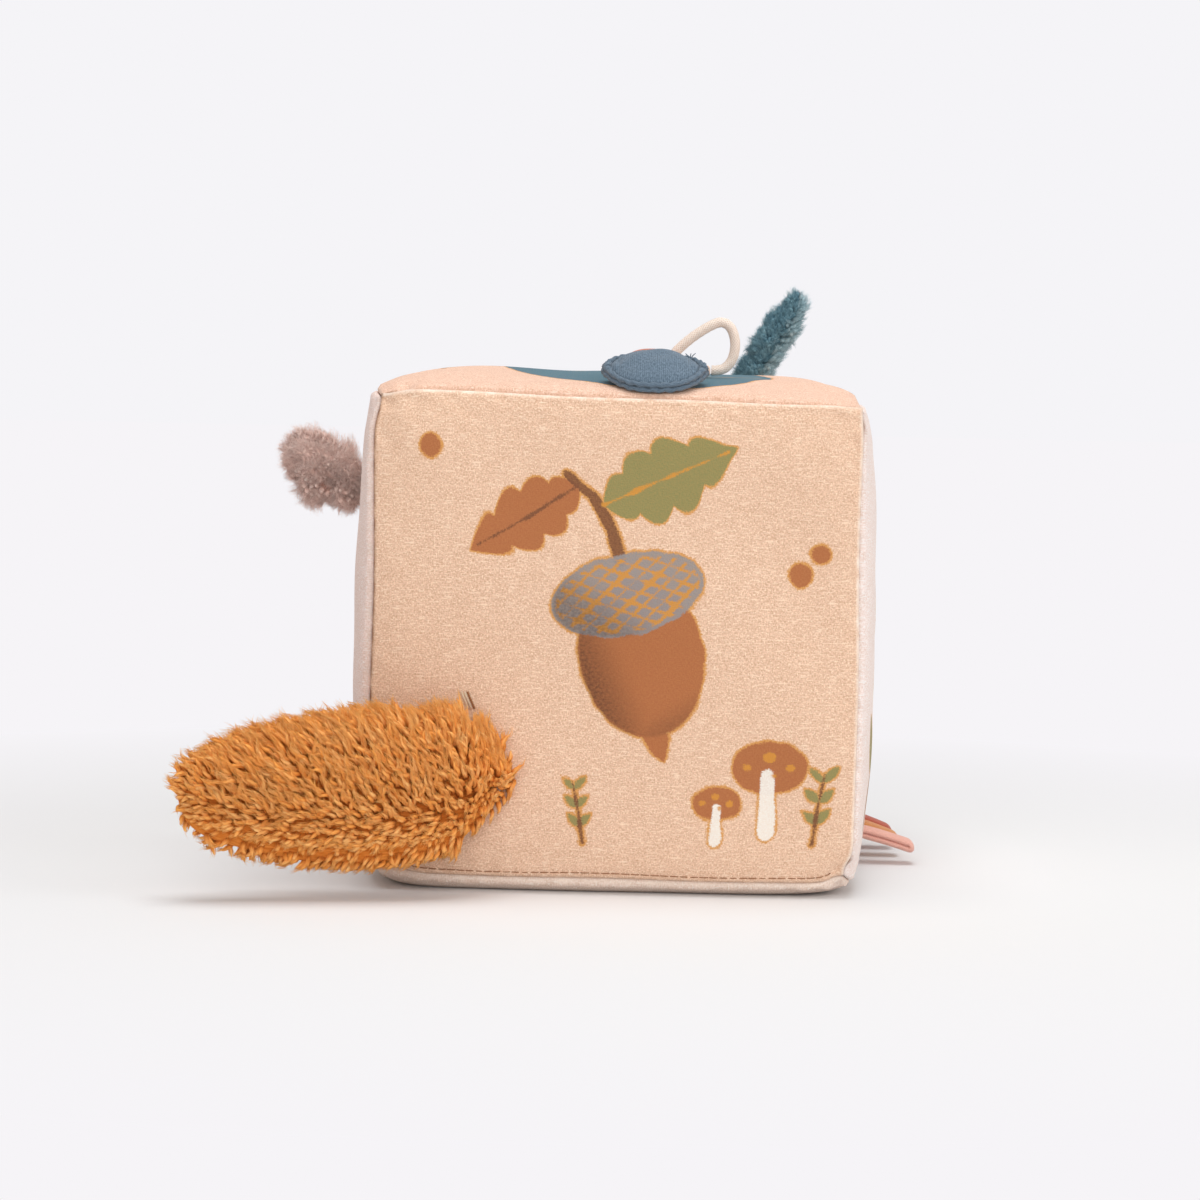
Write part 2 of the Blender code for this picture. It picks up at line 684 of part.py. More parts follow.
def make_loop(faces, cord_finish, tab_finish):
    """The cord loop, and the stitched tab on the top face that holds both of its ends."""
    top = faces["top_panel"]
    seat = max(
        top.surface_at(Vector((ANCHOR_X + side * ANCHOR_WIDTH / 2, ANCHOR_Y + end * ANCHOR_DEPTH / 2, 0.0))).z
        for side in (-1, 0, 1)
        for end in (-1, 0, 1)
    ) + SEAM_GAP
    low = (ANCHOR_X - ANCHOR_WIDTH / 2, ANCHOR_Y - ANCHOR_DEPTH / 2, seat)
    high = (ANCHOR_X + ANCHOR_WIDTH / 2, ANCHOR_Y + ANCHOR_DEPTH / 2, seat + ANCHOR_HEIGHT)
    tab = add_object("loop_anchor", box_mesh("loop_anchor", low, high), tab_finish)
    rounding = tab.modifiers.new("rounding", "BEVEL")
    rounding.width = ANCHOR_ROUNDING
    rounding.segments = ANCHOR_ROUNDING_STEPS
    start = Vector((ANCHOR_X - CORD_START_INSET, ANCHOR_Y, high[2] + SEAM_GAP))
    end = Vector((high[0] + SEAM_GAP, ANCHOR_Y, seat + CORD_END_HEIGHT))
    middle = Vector((ANCHOR_X, ANCHOR_Y, seat))
    straight = CORD_DIAMETER / 2
    route = [start, start + UPWARD * straight]
    route += [middle + Vector(step) for step in CORD_ROUTE]
    route += [end + RIGHTWARD * straight, end]
    data = bpy.data.curves.new("cream_loop", "CURVE")
    data.dimensions = "3D"
    data.bevel_depth = CORD_DIAMETER / 2
    data.bevel_resolution = CORD_RESOLUTION
    data.use_fill_caps = True
    points = smooth_route(route, CORD_STEPS)
    spline = data.splines.new("POLY")
    spline.points.add(len(points) - 1)
    for place, point in zip(spline.points, points):
        place.co = (*point, 1.0)
    add_object("cream_loop", data, cord_finish)


def ribbon_profile(length):
    """The side view of a folded ribbon, as one closed outline: out along the top, round the fold and back."""
    half = RIBBON_THICKNESS + RIBBON_SLIT / 2
    fold = length - half
    outer, inner = [], []
    for step in range(RIBBON_STEPS + 1):
        along = -RIBBON_ROOT_OVERHANG + (fold + RIBBON_ROOT_OVERHANG) * step / RIBBON_STEPS
        full = min(1.0, max(0.0, along / RIBBON_PINCH_LENGTH))
        height = RIBBON_ROOT_RADIUS + (half - RIBBON_ROOT_RADIUS) * full
        outer.append((along, height * RIBBON_CUT_END_SHARE if along < 0 else height))
        inner.append((along, RIBBON_SLIT / 2))
    for step in range(1, RIBBON_TIP_STEPS):
        turn = pi / 2 - pi / 2 * step / RIBBON_TIP_STEPS
        outer.append((fold + half * cos(turn), half * sin(turn)))
        inner.append((fold + RIBBON_SLIT / 2 * cos(turn), RIBBON_SLIT / 2 * sin(turn)))
    tip = [(length, 0.0)]
    inner_tip = [(fold + RIBBON_SLIT / 2, 0.0)]
    under = [(x, -z) for x, z in reversed(outer)]
    inner_under = [(x, -z) for x, z in reversed(inner)]
    return outer + tip + under, inner + inner_tip + inner_under


def make_ribbon(faces, name, length, y, finish):
    """A ribbon folded double and sewn by its two ends low on the right face. It droops towards its fold."""
    seat = faces["right_panel"].surface_at(Vector((0.0, y, RIBBON_ROOT_Z)))
    place = seat + RIGHTWARD * (SEAM_GAP + RIBBON_ROOT_RADIUS)

    def drooped(x, side, z):
        droop = RIBBON_DROOP * max(0.0, x / length) ** RIBBON_DROOP_POWER
        return Vector((x, side * RIBBON_WIDTH / 2, z - droop))

    shape = bmesh.new()
    outer, inner = ribbon_profile(length)
    rings = []
    for side in (-1, 1):
        rings.append(([shape.verts.new(drooped(x, side, z)) for x, z in outer],
                      [shape.verts.new(drooped(x, side, z)) for x, z in inner]))
    for wall_outer, wall_inner in rings:
        for step in range(len(outer) - 1):
            shape.faces.new((wall_outer[step], wall_outer[step + 1], wall_inner[step + 1], wall_inner[step]))
    for first, second in zip(*rings):
        for step in range(len(outer) - 1):
            shape.faces.new((first[step], first[step + 1], second[step + 1], second[step]))
    for end in (0, -1):
        shape.faces.new((rings[0][0][end], rings[1][0][end], rings[1][1][end], rings[0][1][end]))
    made = add_object(name, mesh_from(shape, name), finish)
    made.location = place
    return made


def make_tacks(faces, finish):
    """The thread bars that hold the brown tail's upper edge, side by side on the front face."""
    radius = TACK_DIAMETER / 2
    lean = radians(TACK_LEAN_DEGREES)
    along = Vector((sin(lean), 0.0, cos(lean)))
    outward = -BACKWARD
    front = faces["front_panel"]
    for count in range(TACK_COUNT):
        middle = Vector((TACK_X + count * TACK_PITCH, 0.0, TACK_Z))
        half = along * (TACK_LENGTH / 2)
        seats = [front.surface_at(middle + half * side) for side in (-1, 1)]
        ends = [seat + outward * (SEAM_GAP + radius) for seat in seats]
        across = (ends[1] - ends[0]).normalized().cross(outward)
        sections = [
            [end + radius * (across * cos(turn) + outward * sin(turn)) for turn in turns(TACK_SIDES)]
            for end in ends
        ]
        name = f"tail_tack_stitch_{count + 1}"
        add_object(name, loft(name, sections), finish)


def main():
    for old in list(bpy.data.objects):
        bpy.data.objects.remove(old, do_unlink=True)
    faces = faces_of_cube()
    cottons = {
        "front_panel": (0.80, 0.56, 0.39),
        "back_panel": (0.86, 0.74, 0.68),
        "left_panel": (0.89, 0.76, 0.72),
        "right_panel": (0.90, 0.79, 0.76),
        "top_panel": (0.91, 0.67, 0.52),
        "bottom_panel": (0.88, 0.79, 0.72),
    }
    for name, face in faces.items():
        make_panel(name, face, material(f"{name}_cotton", cottons[name]))
    fibre = material("fibre_filling", (0.85, 0.84, 0.81))
    make_wadding(faces, fibre)
    shell = material("rattle_shell", (0.82, 0.84, 0.86), 0.35)
    make_capsule_half("rattle_capsule_lower", -1, shell)
    make_capsule_half("rattle_capsule_upper", 1, shell)
    make_beads(material("rattle_bead", (0.75, 0.76, 0.78), 0.3))
    make_brown_tail(faces, material("brown_plush", (0.50, 0.19, 0.05)), fibre)
    make_grey_tail(faces, material("grey_plush", (0.42, 0.32, 0.29)), fibre)
    make_blue_tail(faces, material("blue_plush", (0.06, 0.13, 0.16)), fibre)
    make_pad(faces, material("coral_jersey", (0.78, 0.30, 0.19)))
    make_flap(faces, material("blue_jersey", (0.13, 0.18, 0.24)), fibre)
    make_loop(faces, material("cream_cord", (0.84, 0.74, 0.62)), material("peach_tab", (0.91, 0.67, 0.52)))
    ribbons = (
        ("pink_ribbon", PINK_RIBBON_LENGTH, (0.80, 0.42, 0.34)),
        ("ochre_ribbon", OCHRE_RIBBON_LENGTH, (0.62, 0.20, 0.06)),
        ("red_ribbon", RED_RIBBON_LENGTH, (0.40, 0.06, 0.03)),
    )
    for count, (name, length, colour) in enumerate(ribbons):
        y = FIRST_RIBBON_Y + count * RIBBON_PITCH
        make_ribbon(faces, name, length, y, material(f"{name}_cloth", colour))
    make_tacks(faces, material("tack_thread", (0.45, 0.22, 0.10)))


main()
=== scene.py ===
"""The looks of a soft fabric activity cube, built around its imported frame.

Everything is in metres in the frame's own axes. The cube stands on z = 0, its front looks along -Y and its
ribbons are on the +X side. Prints are laid out in millimetres from the middle of the face that carries them.
"""

from __future__ import annotations

import json
import logging
from dataclasses import dataclass, field, replace
from enum import Enum
from itertools import product
from math import cos, pi, radians, sin, sqrt
from typing import Any, Callable

import bmesh
import bpy
import numpy as np
from bpy.types import Material, Mesh, NodeSocket, Object, World
from mathutils import Matrix, Vector

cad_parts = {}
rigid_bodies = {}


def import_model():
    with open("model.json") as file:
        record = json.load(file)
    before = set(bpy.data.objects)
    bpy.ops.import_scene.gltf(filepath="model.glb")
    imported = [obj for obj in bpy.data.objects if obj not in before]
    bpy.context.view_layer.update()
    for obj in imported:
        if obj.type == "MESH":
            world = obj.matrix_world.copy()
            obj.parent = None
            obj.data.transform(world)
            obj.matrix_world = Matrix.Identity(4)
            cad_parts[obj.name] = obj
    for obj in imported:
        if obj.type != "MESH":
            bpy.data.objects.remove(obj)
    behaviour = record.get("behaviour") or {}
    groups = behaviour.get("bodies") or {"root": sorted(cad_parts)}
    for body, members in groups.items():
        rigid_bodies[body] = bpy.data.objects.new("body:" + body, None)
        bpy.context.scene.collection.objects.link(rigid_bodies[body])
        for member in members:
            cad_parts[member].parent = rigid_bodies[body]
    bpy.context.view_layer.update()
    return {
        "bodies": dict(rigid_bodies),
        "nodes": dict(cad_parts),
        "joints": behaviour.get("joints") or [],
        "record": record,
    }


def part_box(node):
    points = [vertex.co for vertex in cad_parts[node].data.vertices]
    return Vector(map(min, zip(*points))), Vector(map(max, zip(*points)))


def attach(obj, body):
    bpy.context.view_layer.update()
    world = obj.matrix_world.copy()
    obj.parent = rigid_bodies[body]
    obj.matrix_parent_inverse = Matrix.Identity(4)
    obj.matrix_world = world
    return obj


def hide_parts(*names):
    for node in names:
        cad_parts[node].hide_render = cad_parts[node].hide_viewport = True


LOG = logging.getLogger("soft_cube")

MM = 0.001
SEAM_GAP = 0.3 * MM
WELD_GAP = 0.001 * MM

Points = np.ndarray
# A shape is placed by a function that gives a place for each pair of shares from 0 to 1.
Placing = Callable[[Points, Points], Points]
Pair = tuple[float, float]
Triple = tuple[float, float, float]
Frame = dict[str, Any]


def linear(colour: str) -> tuple[float, float, float, float]:
    """Turns an sRGB hex colour into the linear colour that shaders take.

    Args:
        colour: Six hex digits after a hash.

    Returns:
        Red, green, blue and an alpha of 1.
    """
    channels = [int(colour[start:start + 2], 16) / 255 for start in (1, 3, 5)]
    bent = [c / 12.92 if c <= 0.04045 else ((c + 0.055) / 1.055) ** 2.4 for c in channels]
    return (*bent, 1.0)


def outer(amounts: Points, direction: Points) -> Points:
    """Steps of these amounts along one direction."""
    return np.multiply.outer(amounts, direction)


def unit(vectors: Points) -> Points:
    """Scales each vector to a length of 1."""
    return vectors / np.maximum(np.linalg.norm(vectors, axis=-1, keepdims=True), 1e-12)


def eased(values: Points) -> Points:
    """Turns shares into an ease from 0 to 1 with level ends."""
    held = np.clip(values, 0.0, 1.0)
    return held * held * (3 - 2 * held)


def hump(offset: Points, width: float) -> Points:
    """A smooth hump, 1 at no offset and next to nothing past twice the width."""
    return np.exp(-((offset / width) ** 2))


def squared(wave: Points, power: float) -> Points:
    """Bends a sine or cosine towards a square wave, the more the lower the power."""
    return np.sign(wave) * np.abs(wave) ** power


def ripple(points: Points, wavelength: float, seed: int) -> Points:
    """Smooth noise of about -1 to 1, as a sum of plane waves.

    Args:
        points: Places, one row each.
        wavelength: The usual distance from crest to crest.
        seed: Which noise this is.

    Returns:
        One value for each place.
    """
    rng = np.random.default_rng(seed)
    waves = 8
    total = np.zeros(len(points))
    for _ in range(waves):
        direction = unit(rng.normal(size=points.shape[1]))
        stretch = rng.uniform(0.7, 1.5)
        total += np.sin(points @ direction * (2 * pi / (wavelength * stretch)) + rng.uniform(0, 2 * pi))
    return total / sqrt(waves)


class Graph:
    """The node tree of one material, or of the world."""

    def __init__(self, owner: str | World) -> None:
        """Starts an empty tree.

        Args:
            owner: The name of a new material, or the world.
        """
        self.owner = bpy.data.materials.new(owner) if isinstance(owner, str) else owner
        self.owner.use_nodes = True
        self.tree = self.owner.node_tree
        self.tree.nodes.clear()

    def add(self, kind: str, *values: Any, output: str = "", **settings: Any) -> NodeSocket | None:
        """Adds a node with its settings and its links.

        Args:
            kind: The node's type without its ShaderNode prefix. Its operation or its data may follow a dot.
            values: What its inputs take in turn, or one dict of them by name. Each is a number or a socket.
            output: The output to give, or else the node's first.
            settings: The node's own properties.

        Returns:
            The output, if it has one.
        """
        kind, _, mode = kind.partition(".")
        made = self.tree.nodes.new("ShaderNode" + kind)
        if mode:
            settings["data_type" if kind == "Mix" else "operation"] = mode
        for key, value in settings.items():
            setattr(made, key, value)
        used = [socket for socket in made.inputs if socket.enabled]
        named = values[0] if values and isinstance(values[0], dict) else dict(enumerate(values))
        for key, value in named.items():
            socket = made.inputs[key] if isinstance(key, str) else used[key]
            if isinstance(value, NodeSocket):
                self.tree.links.new(value, socket)
            else:
                socket.default_value = value
        if output:
            return made.outputs[output]
        return next((socket for socket in made.outputs if socket.enabled), None)

    def grain(self, places: Any, across: float, along: float, detail: float) -> NodeSocket:
        """Noise whose grains are across by along millimetres on the cloth's own map."""
        scaled = self.add("VectorMath.MULTIPLY", places, (1 / across, 1 / along, 1.0))
        return self.add("TexNoise", {"Vector": scaled, "Scale": 1.0, "Detail": detail})

    def seen(self) -> NodeSocket:
        """Is 1 where the camera, a reflection or a see-through surface looks at this.

        Returns:
            A socket of 1 for such rays and of 0 for the rest.
        """
        rays = self.add("LightPath").node.outputs
        looks = self.add("Math.MAXIMUM", rays["Is Camera Ray"], rays["Is Glossy Ray"])
        return self.add("Math.MAXIMUM", looks, rays["Is Transmission Ray"])

    def close(self, shader: NodeSocket) -> Material | World:
        """Links the shader to the output.

        Args:
            shader: What the output takes.

        Returns:
            The finished material, or the world.
        """
        kind = "OutputWorld" if isinstance(self.owner, World) else "OutputMaterial"
        self.add(kind, {"Surface": shader})
        return self.owner


class Ink(Enum):
    """The colours that the cloth is printed with, under the prints that cover them."""

    TEAL = "#1F6A80"
    LEAF = "#8E8A58"
    RUST = "#AE6A43"
    BARK = "#7C5038"
    SLATE = "#95908F"
    WHITE = "#F5EFE6"
    OCHRE = "#D3923F"


def ink_attribute(ink: Ink) -> str:
    """The name of the attribute that holds how far a place is from an ink's edge."""
    return f"ink_{ink.name.lower()}"


@dataclass(frozen=True)
class SlubCotton:
    """Plain-woven cotton with slubs: matt, with uneven threads that show as a fine grain with pale flecks."""

    name: str
    ground: str
    inks: tuple[Ink, ...] = ()
    contrast: float = 1.0
    thread_mm: float = 0.3
    float_mm: float = 0.8
    slub_mm: Pair = (3.6, 0.45)
    outline_mm: float = 0.9

    def build(self) -> Material:
        """Makes the cloth: threads, slubs, mottling, prints, and painted highlight and shade along its seams.

        Returns:
            The material.
        """
        g = Graph(self.name)
        cloth = g.add("UVMap", uv_map="cloth_mm")
        # The real threads are 0.25 mm apart, and they are drawn somewhat coarser so that they show.
        warp = g.grain(cloth, self.thread_mm, self.float_mm, 1.0)
        weft = g.grain(cloth, self.float_mm, self.thread_mm, 1.0)
        both = g.add("Math.MULTIPLY", g.add("Math.ADD", warp, weft), 0.5)
        threads = g.add("MapRange", both, 0.36, 0.64)
        slubs = g.add("MapRange", g.grain(cloth, *self.slub_mm, 2.0), 0.57, 0.7)
        flecks = g.add("MapRange", g.grain(cloth, 0.5, 0.45, 0.0), 0.6, 0.74)
        mottle = g.add("MapRange", g.grain(cloth, 5.0, 3.5, 3.0), 0.3, 0.7)
        tone = g.add("Math.MULTIPLY_ADD", threads, 0.84, g.add("Math.MULTIPLY", mottle, 0.16))
        colour = g.add("Mix.RGBA", tone, linear(self.shaded(0.87)), linear(self.shaded(1.06)))
        pale = g.add("Math.MAXIMUM", slubs, flecks)
        paler = g.add("Math.MULTIPLY", pale, 0.75 * self.contrast)
        colour = g.add("Mix.RGBA", paler, colour, linear(self.shaded(1.14)))
        colour = self.print_on(g, colour, cloth, threads)
        # Painted highlight: a pale line along each seam's fold, where the turned edge would catch the light.
        fold = g.add("Attribute", attribute_name="fold", output="Fac")
        colour = g.add("Mix.RGBA", g.add("Math.MULTIPLY", fold, 0.85), colour, linear("#FFF0E2"))
        # Painted shade: dark brown along the seams and near their ends, where the seam's groove would lie in
        # shadow.
        crease = g.add("Attribute", attribute_name="crease", output="Fac")
        colour = g.add("Mix.RGBA", crease, colour, linear("#8A5B3C"))
        height = g.add("Math.MULTIPLY_ADD", pale, 0.5, threads)
        bump = g.add("Bump", {"Strength": 0.5, "Distance": 0.1 * MM, "Height": height})
        inputs = {"Base Color": colour, "Roughness": 0.92, "Normal": bump,
                  "Sheen Weight": 0.1, "Sheen Roughness": 0.6, "Specular IOR Level": 0.2}
        return g.close(g.add("BsdfPrincipled", inputs))

    def shaded(self, share: float) -> str:
        """The ground colour made darker and richer, or paler and whiter, by a share, as hex.

        Args:
            share: How bright the shade is beside the ground.

        Returns:
            The shade.
        """
        levels = [int(self.ground[start:start + 2], 16) for start in (1, 3, 5)]
        reach = 1 + (share - 1) * self.contrast
        return "#" + "".join(
            f"{min(255, round(level * reach ** power)):02X}" for level, power in zip(levels, (0.9, 1.25, 1.6))
        )

    def print_on(self, g: Graph, ground: Any, cloth: Any, threads: Any) -> Any:
        """Lays the inks over the ground, with edges that bleed along the threads.

        Args:
            g: The material's graph.
            ground: The colour so far.
            cloth: The cloth's own map, in millimetres.
            threads: The threads' height, from 0 to 1.

        Returns:
            The printed colour.
        """
        if not self.inks:
            return ground
        bleed = g.add("Math.MULTIPLY", g.add("Math.SUBTRACT", threads, 0.5), 0.5)
        chalk = g.grain(cloth, 0.9, 0.7, 2.0)
        edge = g.add("Attribute", attribute_name="ink_edge", output="Fac")
        edge = g.add("Math.ADD", edge, g.add("Math.ADD", chalk, bleed))
        outline = g.add("MapRange", edge, self.outline_mm + 0.6, self.outline_mm, 0.0, 0.85)
        colour = g.add("Mix.RGBA", outline, ground, linear(Ink.OCHRE.value))
        grain = g.add("Math.MULTIPLY_ADD", threads, -0.18, 1.0)
        for ink in self.inks:
            distance = g.add("Attribute", attribute_name=ink_attribute(ink), output="Fac")
            covered = g.add("MapRange", g.add("Math.ADD", distance, bleed), 0.22, -0.22)
            colour = g.add("Mix.RGBA", g.add("Math.MULTIPLY", covered, grain), colour, linear(ink.value))
        rubbed = g.add("Math.MULTIPLY_ADD", g.add("MapRange", chalk, 0.25, 0.7), 0.6, 0.4)
        shade = g.add("Attribute", attribute_name="ink_shade", output="Fac")
        return g.add("Mix.RGBA", g.add("Math.MULTIPLY", shade, rubbed), colour, linear("#3A2B25"))


@dataclass(frozen=True)
class JerseyKnit:
    """Fine jersey: soft matt loops in upright ribs, which catch light along their ridges."""

    name: str
    colour: str
    shadow: str
    rib_mm: float = 0.6
    loop_mm: float = 0.6

    def build(self) -> Material:
        """Makes the knit from ribs of leaning loops.

        Returns:
            The material.
        """
        g = Graph(self.name)
        cloth = g.add("UVMap", uv_map="cloth_mm")
        place = g.add("SeparateXYZ", cloth).node.outputs
        wave = g.add("Math.SINE", g.add("Math.MULTIPLY", place[0], pi / self.rib_mm))
        rib = g.add("Math.ABSOLUTE", wave)
        lean = g.add("Math.MULTIPLY_ADD", rib, self.loop_mm, place[1])
        turn = g.add("Math.MULTIPLY", lean, 2 * pi / self.loop_mm)
        loops = g.add("Math.MULTIPLY_ADD", g.add("Math.SINE", turn), 0.5, 0.5)
        heather = g.add("MapRange", g.grain(cloth, 0.45, 0.8, 3.0), 0.3, 0.7)
        height = g.add("Math.MULTIPLY_ADD", rib, 0.6, g.add("Math.MULTIPLY", loops, 0.4))
        tone = g.add("Math.MULTIPLY_ADD", height, 0.35, g.add("Math.MULTIPLY", heather, 0.65))
        colour = g.add("Mix.RGBA", tone, linear(self.shadow), linear(self.colour))
        bump = g.add("Bump", {"Strength": 0.5, "Distance": 0.18 * MM, "Height": height})
        inputs = {"Base Color": colour, "Roughness": 0.9, "Normal": bump,
                  "Sheen Weight": 0.2, "Sheen Roughness": 0.5, "Specular IOR Level": 0.25}
        return g.close(g.add("BsdfPrincipled", inputs))


@dataclass(frozen=True)
class Plush:
    """Pile fibre: soft and matt, pale at its tips, with warm shadow down among the roots."""

    name: str
    root: str
    body: str
    tip: str
    pale: str

    def build(self) -> Material:
        """Makes the fibre's colour from its place along the lock, its lock's own tone and fine streaks.

        Returns:
            The material.
        """
        g = Graph(self.name)
        fibres = g.grain(g.add("UVMap", uv_map="cloth_mm"), 0.28, 3.2, 2.0)
        streak = g.add("MapRange", fibres, 0.3, 0.7)
        own = g.add("Attribute", attribute_name="along", output="Fac")
        along = g.add("Math.ADD", own, g.add("Math.MULTIPLY_ADD", streak, 0.3, -0.15))
        # Painted warm shade: the colour is darkest at the roots by the backing and rises through the body
        # colour.
        colour = g.add("Mix.RGBA", g.add("MapRange", along, 0.0, 0.4), linear(self.root), linear(self.body))
        colour = g.add("Mix.RGBA", g.add("MapRange", along, 0.35, 1.0), colour, linear(self.tip))
        lock = g.add("Attribute", attribute_name="tone", output="Fac")
        pale = g.add("Math.MULTIPLY", lock, g.add("Math.MULTIPLY_ADD", streak, 0.5, 0.5))
        pale = g.add("Math.MULTIPLY", pale, g.add("MapRange", along, 0.1, 0.6))
        colour = g.add("Mix.RGBA", pale, colour, linear(self.pale))
        bump = g.add("Bump", {"Strength": 0.5, "Distance": 0.12 * MM, "Height": fibres})
        inputs = {"Base Color": colour, "Roughness": 0.85, "Normal": bump, "Sheen Weight": 0.5,
                  "Sheen Roughness": 0.6, "Sheen Tint": linear(self.tip), "Specular IOR Level": 0.15}
        return g.close(g.add("BsdfPrincipled", inputs))


@dataclass(frozen=True)
class TwistedYarn:
    """Spun cotton laid round a core: slanting strands with fine hollows between them."""

    name: str
    colour: str
    hollow: str
    strand_mm: float
    slant: float

    def build(self) -> Material:
        """Makes two crossing sets of strands on the yarn's own map.

        Returns:
            The material.
        """
        g = Graph(self.name)
        cloth = g.add("UVMap", uv_map="cloth_mm")
        place = g.add("SeparateXYZ", cloth).node.outputs
        leaning = g.add("Math.MULTIPLY", place[0], self.slant)
        ways = (g.add("Math.ADD", place[1], leaning), g.add("Math.SUBTRACT", place[1], leaning))
        waves = [g.add("Math.SINE", g.add("Math.MULTIPLY", way, 2 * pi / self.strand_mm)) for way in ways]
        plait = g.add("Math.MULTIPLY_ADD", g.add("Math.MAXIMUM", *waves), 0.5, 0.5)
        fuzz = g.grain(cloth, 0.3, 0.8, 3.0)
        height = g.add("Math.MULTIPLY_ADD", plait, 0.7, g.add("Math.MULTIPLY", fuzz, 0.4))
        # Painted shade: the low places between the strands take the darker hollow colour.
        colour = g.add("Mix.RGBA", height, linear(self.hollow), linear(self.colour))
        bump = g.add("Bump", {"Strength": 0.5, "Distance": 0.14 * MM, "Height": height})
        inputs = {"Base Color": colour, "Roughness": 0.85, "Normal": bump,
                  "Sheen Weight": 0.25, "Sheen Roughness": 0.5, "Specular IOR Level": 0.25}
        return g.close(g.add("BsdfPrincipled", inputs))


@dataclass(frozen=True)
class MouldedPlastic:
    """Injection-moulded polypropylene: satin, with the faint orange peel of its mould."""

    name: str
    colour: str
    roughness: float

    def build(self) -> Material:
        """Makes the satin plastic with its fine unevenness.

        Returns:
            The material.
        """
        g = Graph(self.name)
        place = g.add("TexCoord", output="Object")
        peel = g.add("TexNoise", {"Vector": place, "Scale": 1 / (1.5 * MM), "Detail": 2.0})
        bump = g.add("Bump", {"Strength": 0.15, "Distance": 0.05 * MM, "Height": peel})
        inputs = {"Base Color": linear(self.colour), "Roughness": self.roughness, "IOR": 1.49,
                  "Normal": bump}
        return g.close(g.add("BsdfPrincipled", inputs))


def object_from(name: str, mesh: Mesh, finish: Material) -> Object:
    """Adds a smooth mesh to the scene as an object at the origin.

    Args:
        name: The piece's name.
        mesh: Its mesh, already in place.
        finish: Its material.

    Returns:
        The new object.
    """
    mesh.materials.clear()
    mesh.materials.append(finish)
    mesh.shade_smooth()
    made = bpy.data.objects.new(name, mesh)
    bpy.context.scene.collection.objects.link(made)
    return made


def dressed(
    name: str, mesh: Mesh, finish: Material, body: str, node: str
) -> Object:
    """Makes a mesh one of the object's pieces, in place of the frame's own.

    Args:
        name: The piece's name.
        mesh: Its mesh, already in place.
        finish: Its material.
        body: The body that it rides.
        node: The node that it replaces, if any.

    Returns:
        The piece.
    """
    piece = object_from(name, mesh, finish)
    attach(piece, body)
    if node:
        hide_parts(node)
    LOG.info("%s: %d faces", name, len(mesh.polygons))
    return piece


def coordinates(mesh: Mesh) -> Points:
    """The mesh's vertices, one row each.

    Args:
        mesh: The mesh.

    Returns:
        The places.
    """
    flat = np.empty(len(mesh.vertices) * 3)
    mesh.vertices.foreach_get("co", flat)
    return flat.reshape(-1, 3)


def set_coordinates(mesh: Mesh, places: Points) -> None:
    """Moves the mesh's vertices to these places."""
    mesh.vertices.foreach_set("co", places.astype(np.float32).ravel())
    mesh.update()


def set_values(mesh: Mesh, name: str, values: Points) -> None:
    """Stores one number for each vertex under a name that a material reads."""
    layer = mesh.attributes.new(name, "FLOAT", "POINT")
    layer.data.foreach_set("value", values.astype(np.float32))


def lay_cloth(mesh: Mesh, flat: Points) -> None:
    """Gives the mesh the cloth's own map, from each vertex's place on the cloth in millimetres.

    Args:
        mesh: The mesh.
        flat: The places on the cloth, one row for each vertex.
    """
    corners = np.empty(len(mesh.loops), np.int32)
    mesh.loops.foreach_get("vertex_index", corners)
    layer = mesh.uv_layers.get("cloth_mm") or mesh.uv_layers.new(name="cloth_mm")
    layer.data.foreach_set("uv", flat[corners].astype(np.float32).ravel())


def mapped_grid(
    name: str, columns: int, rows: int, place: Placing, cloth_size: Pair, weld: bool = False,
    values: Callable[[Points, Points], dict[str, Points]] | None = None,
) -> Mesh:
    """A grid bent to its shape, which carries the cloth's own map in millimetres.

    Args:
        name: The mesh's name.
        columns: Faces along the first share.
        rows: Faces along the second share.
        place: Gives a place for each pair of shares from 0 to 1.
        cloth_size: The cloth's real width and length, in millimetres.
        weld: Whether edges that meet are joined into a closed shape.
        values: Gives named numbers for each pair of shares.

    Returns:
        The mesh.
    """
    shape = bmesh.new()
    bmesh.ops.create_grid(shape, x_segments=columns, y_segments=rows, size=0.5)
    mesh = bpy.data.meshes.new(name)
    shape.to_mesh(mesh)
    shape.free()
    shares = coordinates(mesh)[:, :2] + 0.5
    lay_cloth(mesh, shares * np.array(cloth_size))
    set_coordinates(mesh, place(shares[:, 0], shares[:, 1]))
    for key, numbers in (values(shares[:, 0], shares[:, 1]) if values else {}).items():
        set_values(mesh, key, numbers)
    if weld:
        closed = bmesh.new()
        closed.from_mesh(mesh)
        bmesh.ops.remove_doubles(closed, verts=closed.verts, dist=WELD_GAP)
        bmesh.ops.recalc_face_normals(closed, faces=closed.faces)
        closed.to_mesh(mesh)
        closed.free()
    return mesh


def joined(name: str, meshes: list[Mesh]) -> Mesh:
    """Puts several meshes into one and removes them.

    Args:
        name: The new mesh's name.
        meshes: What goes into it.

    Returns:
        The new mesh.
    """
    shape = bmesh.new()
    for mesh in meshes:
        shape.from_mesh(mesh)
    whole = bpy.data.meshes.new(name)
    shape.to_mesh(whole)
    shape.free()
    for mesh in meshes:
        bpy.data.meshes.remove(mesh)
    return whole


def capped(mesh: Mesh) -> Mesh:
    """Closes the open ends of a mesh.

    Args:
        mesh: The mesh, which is changed.

    Returns:
        The same mesh.
    """
    shape = bmesh.new()
    shape.from_mesh(mesh)
    bmesh.ops.holes_fill(shape, edges=[edge for edge in shape.edges if edge.is_boundary], sides=0)
    bmesh.ops.recalc_face_normals(shape, faces=shape.faces)
    shape.to_mesh(mesh)
    shape.free()
    return mesh


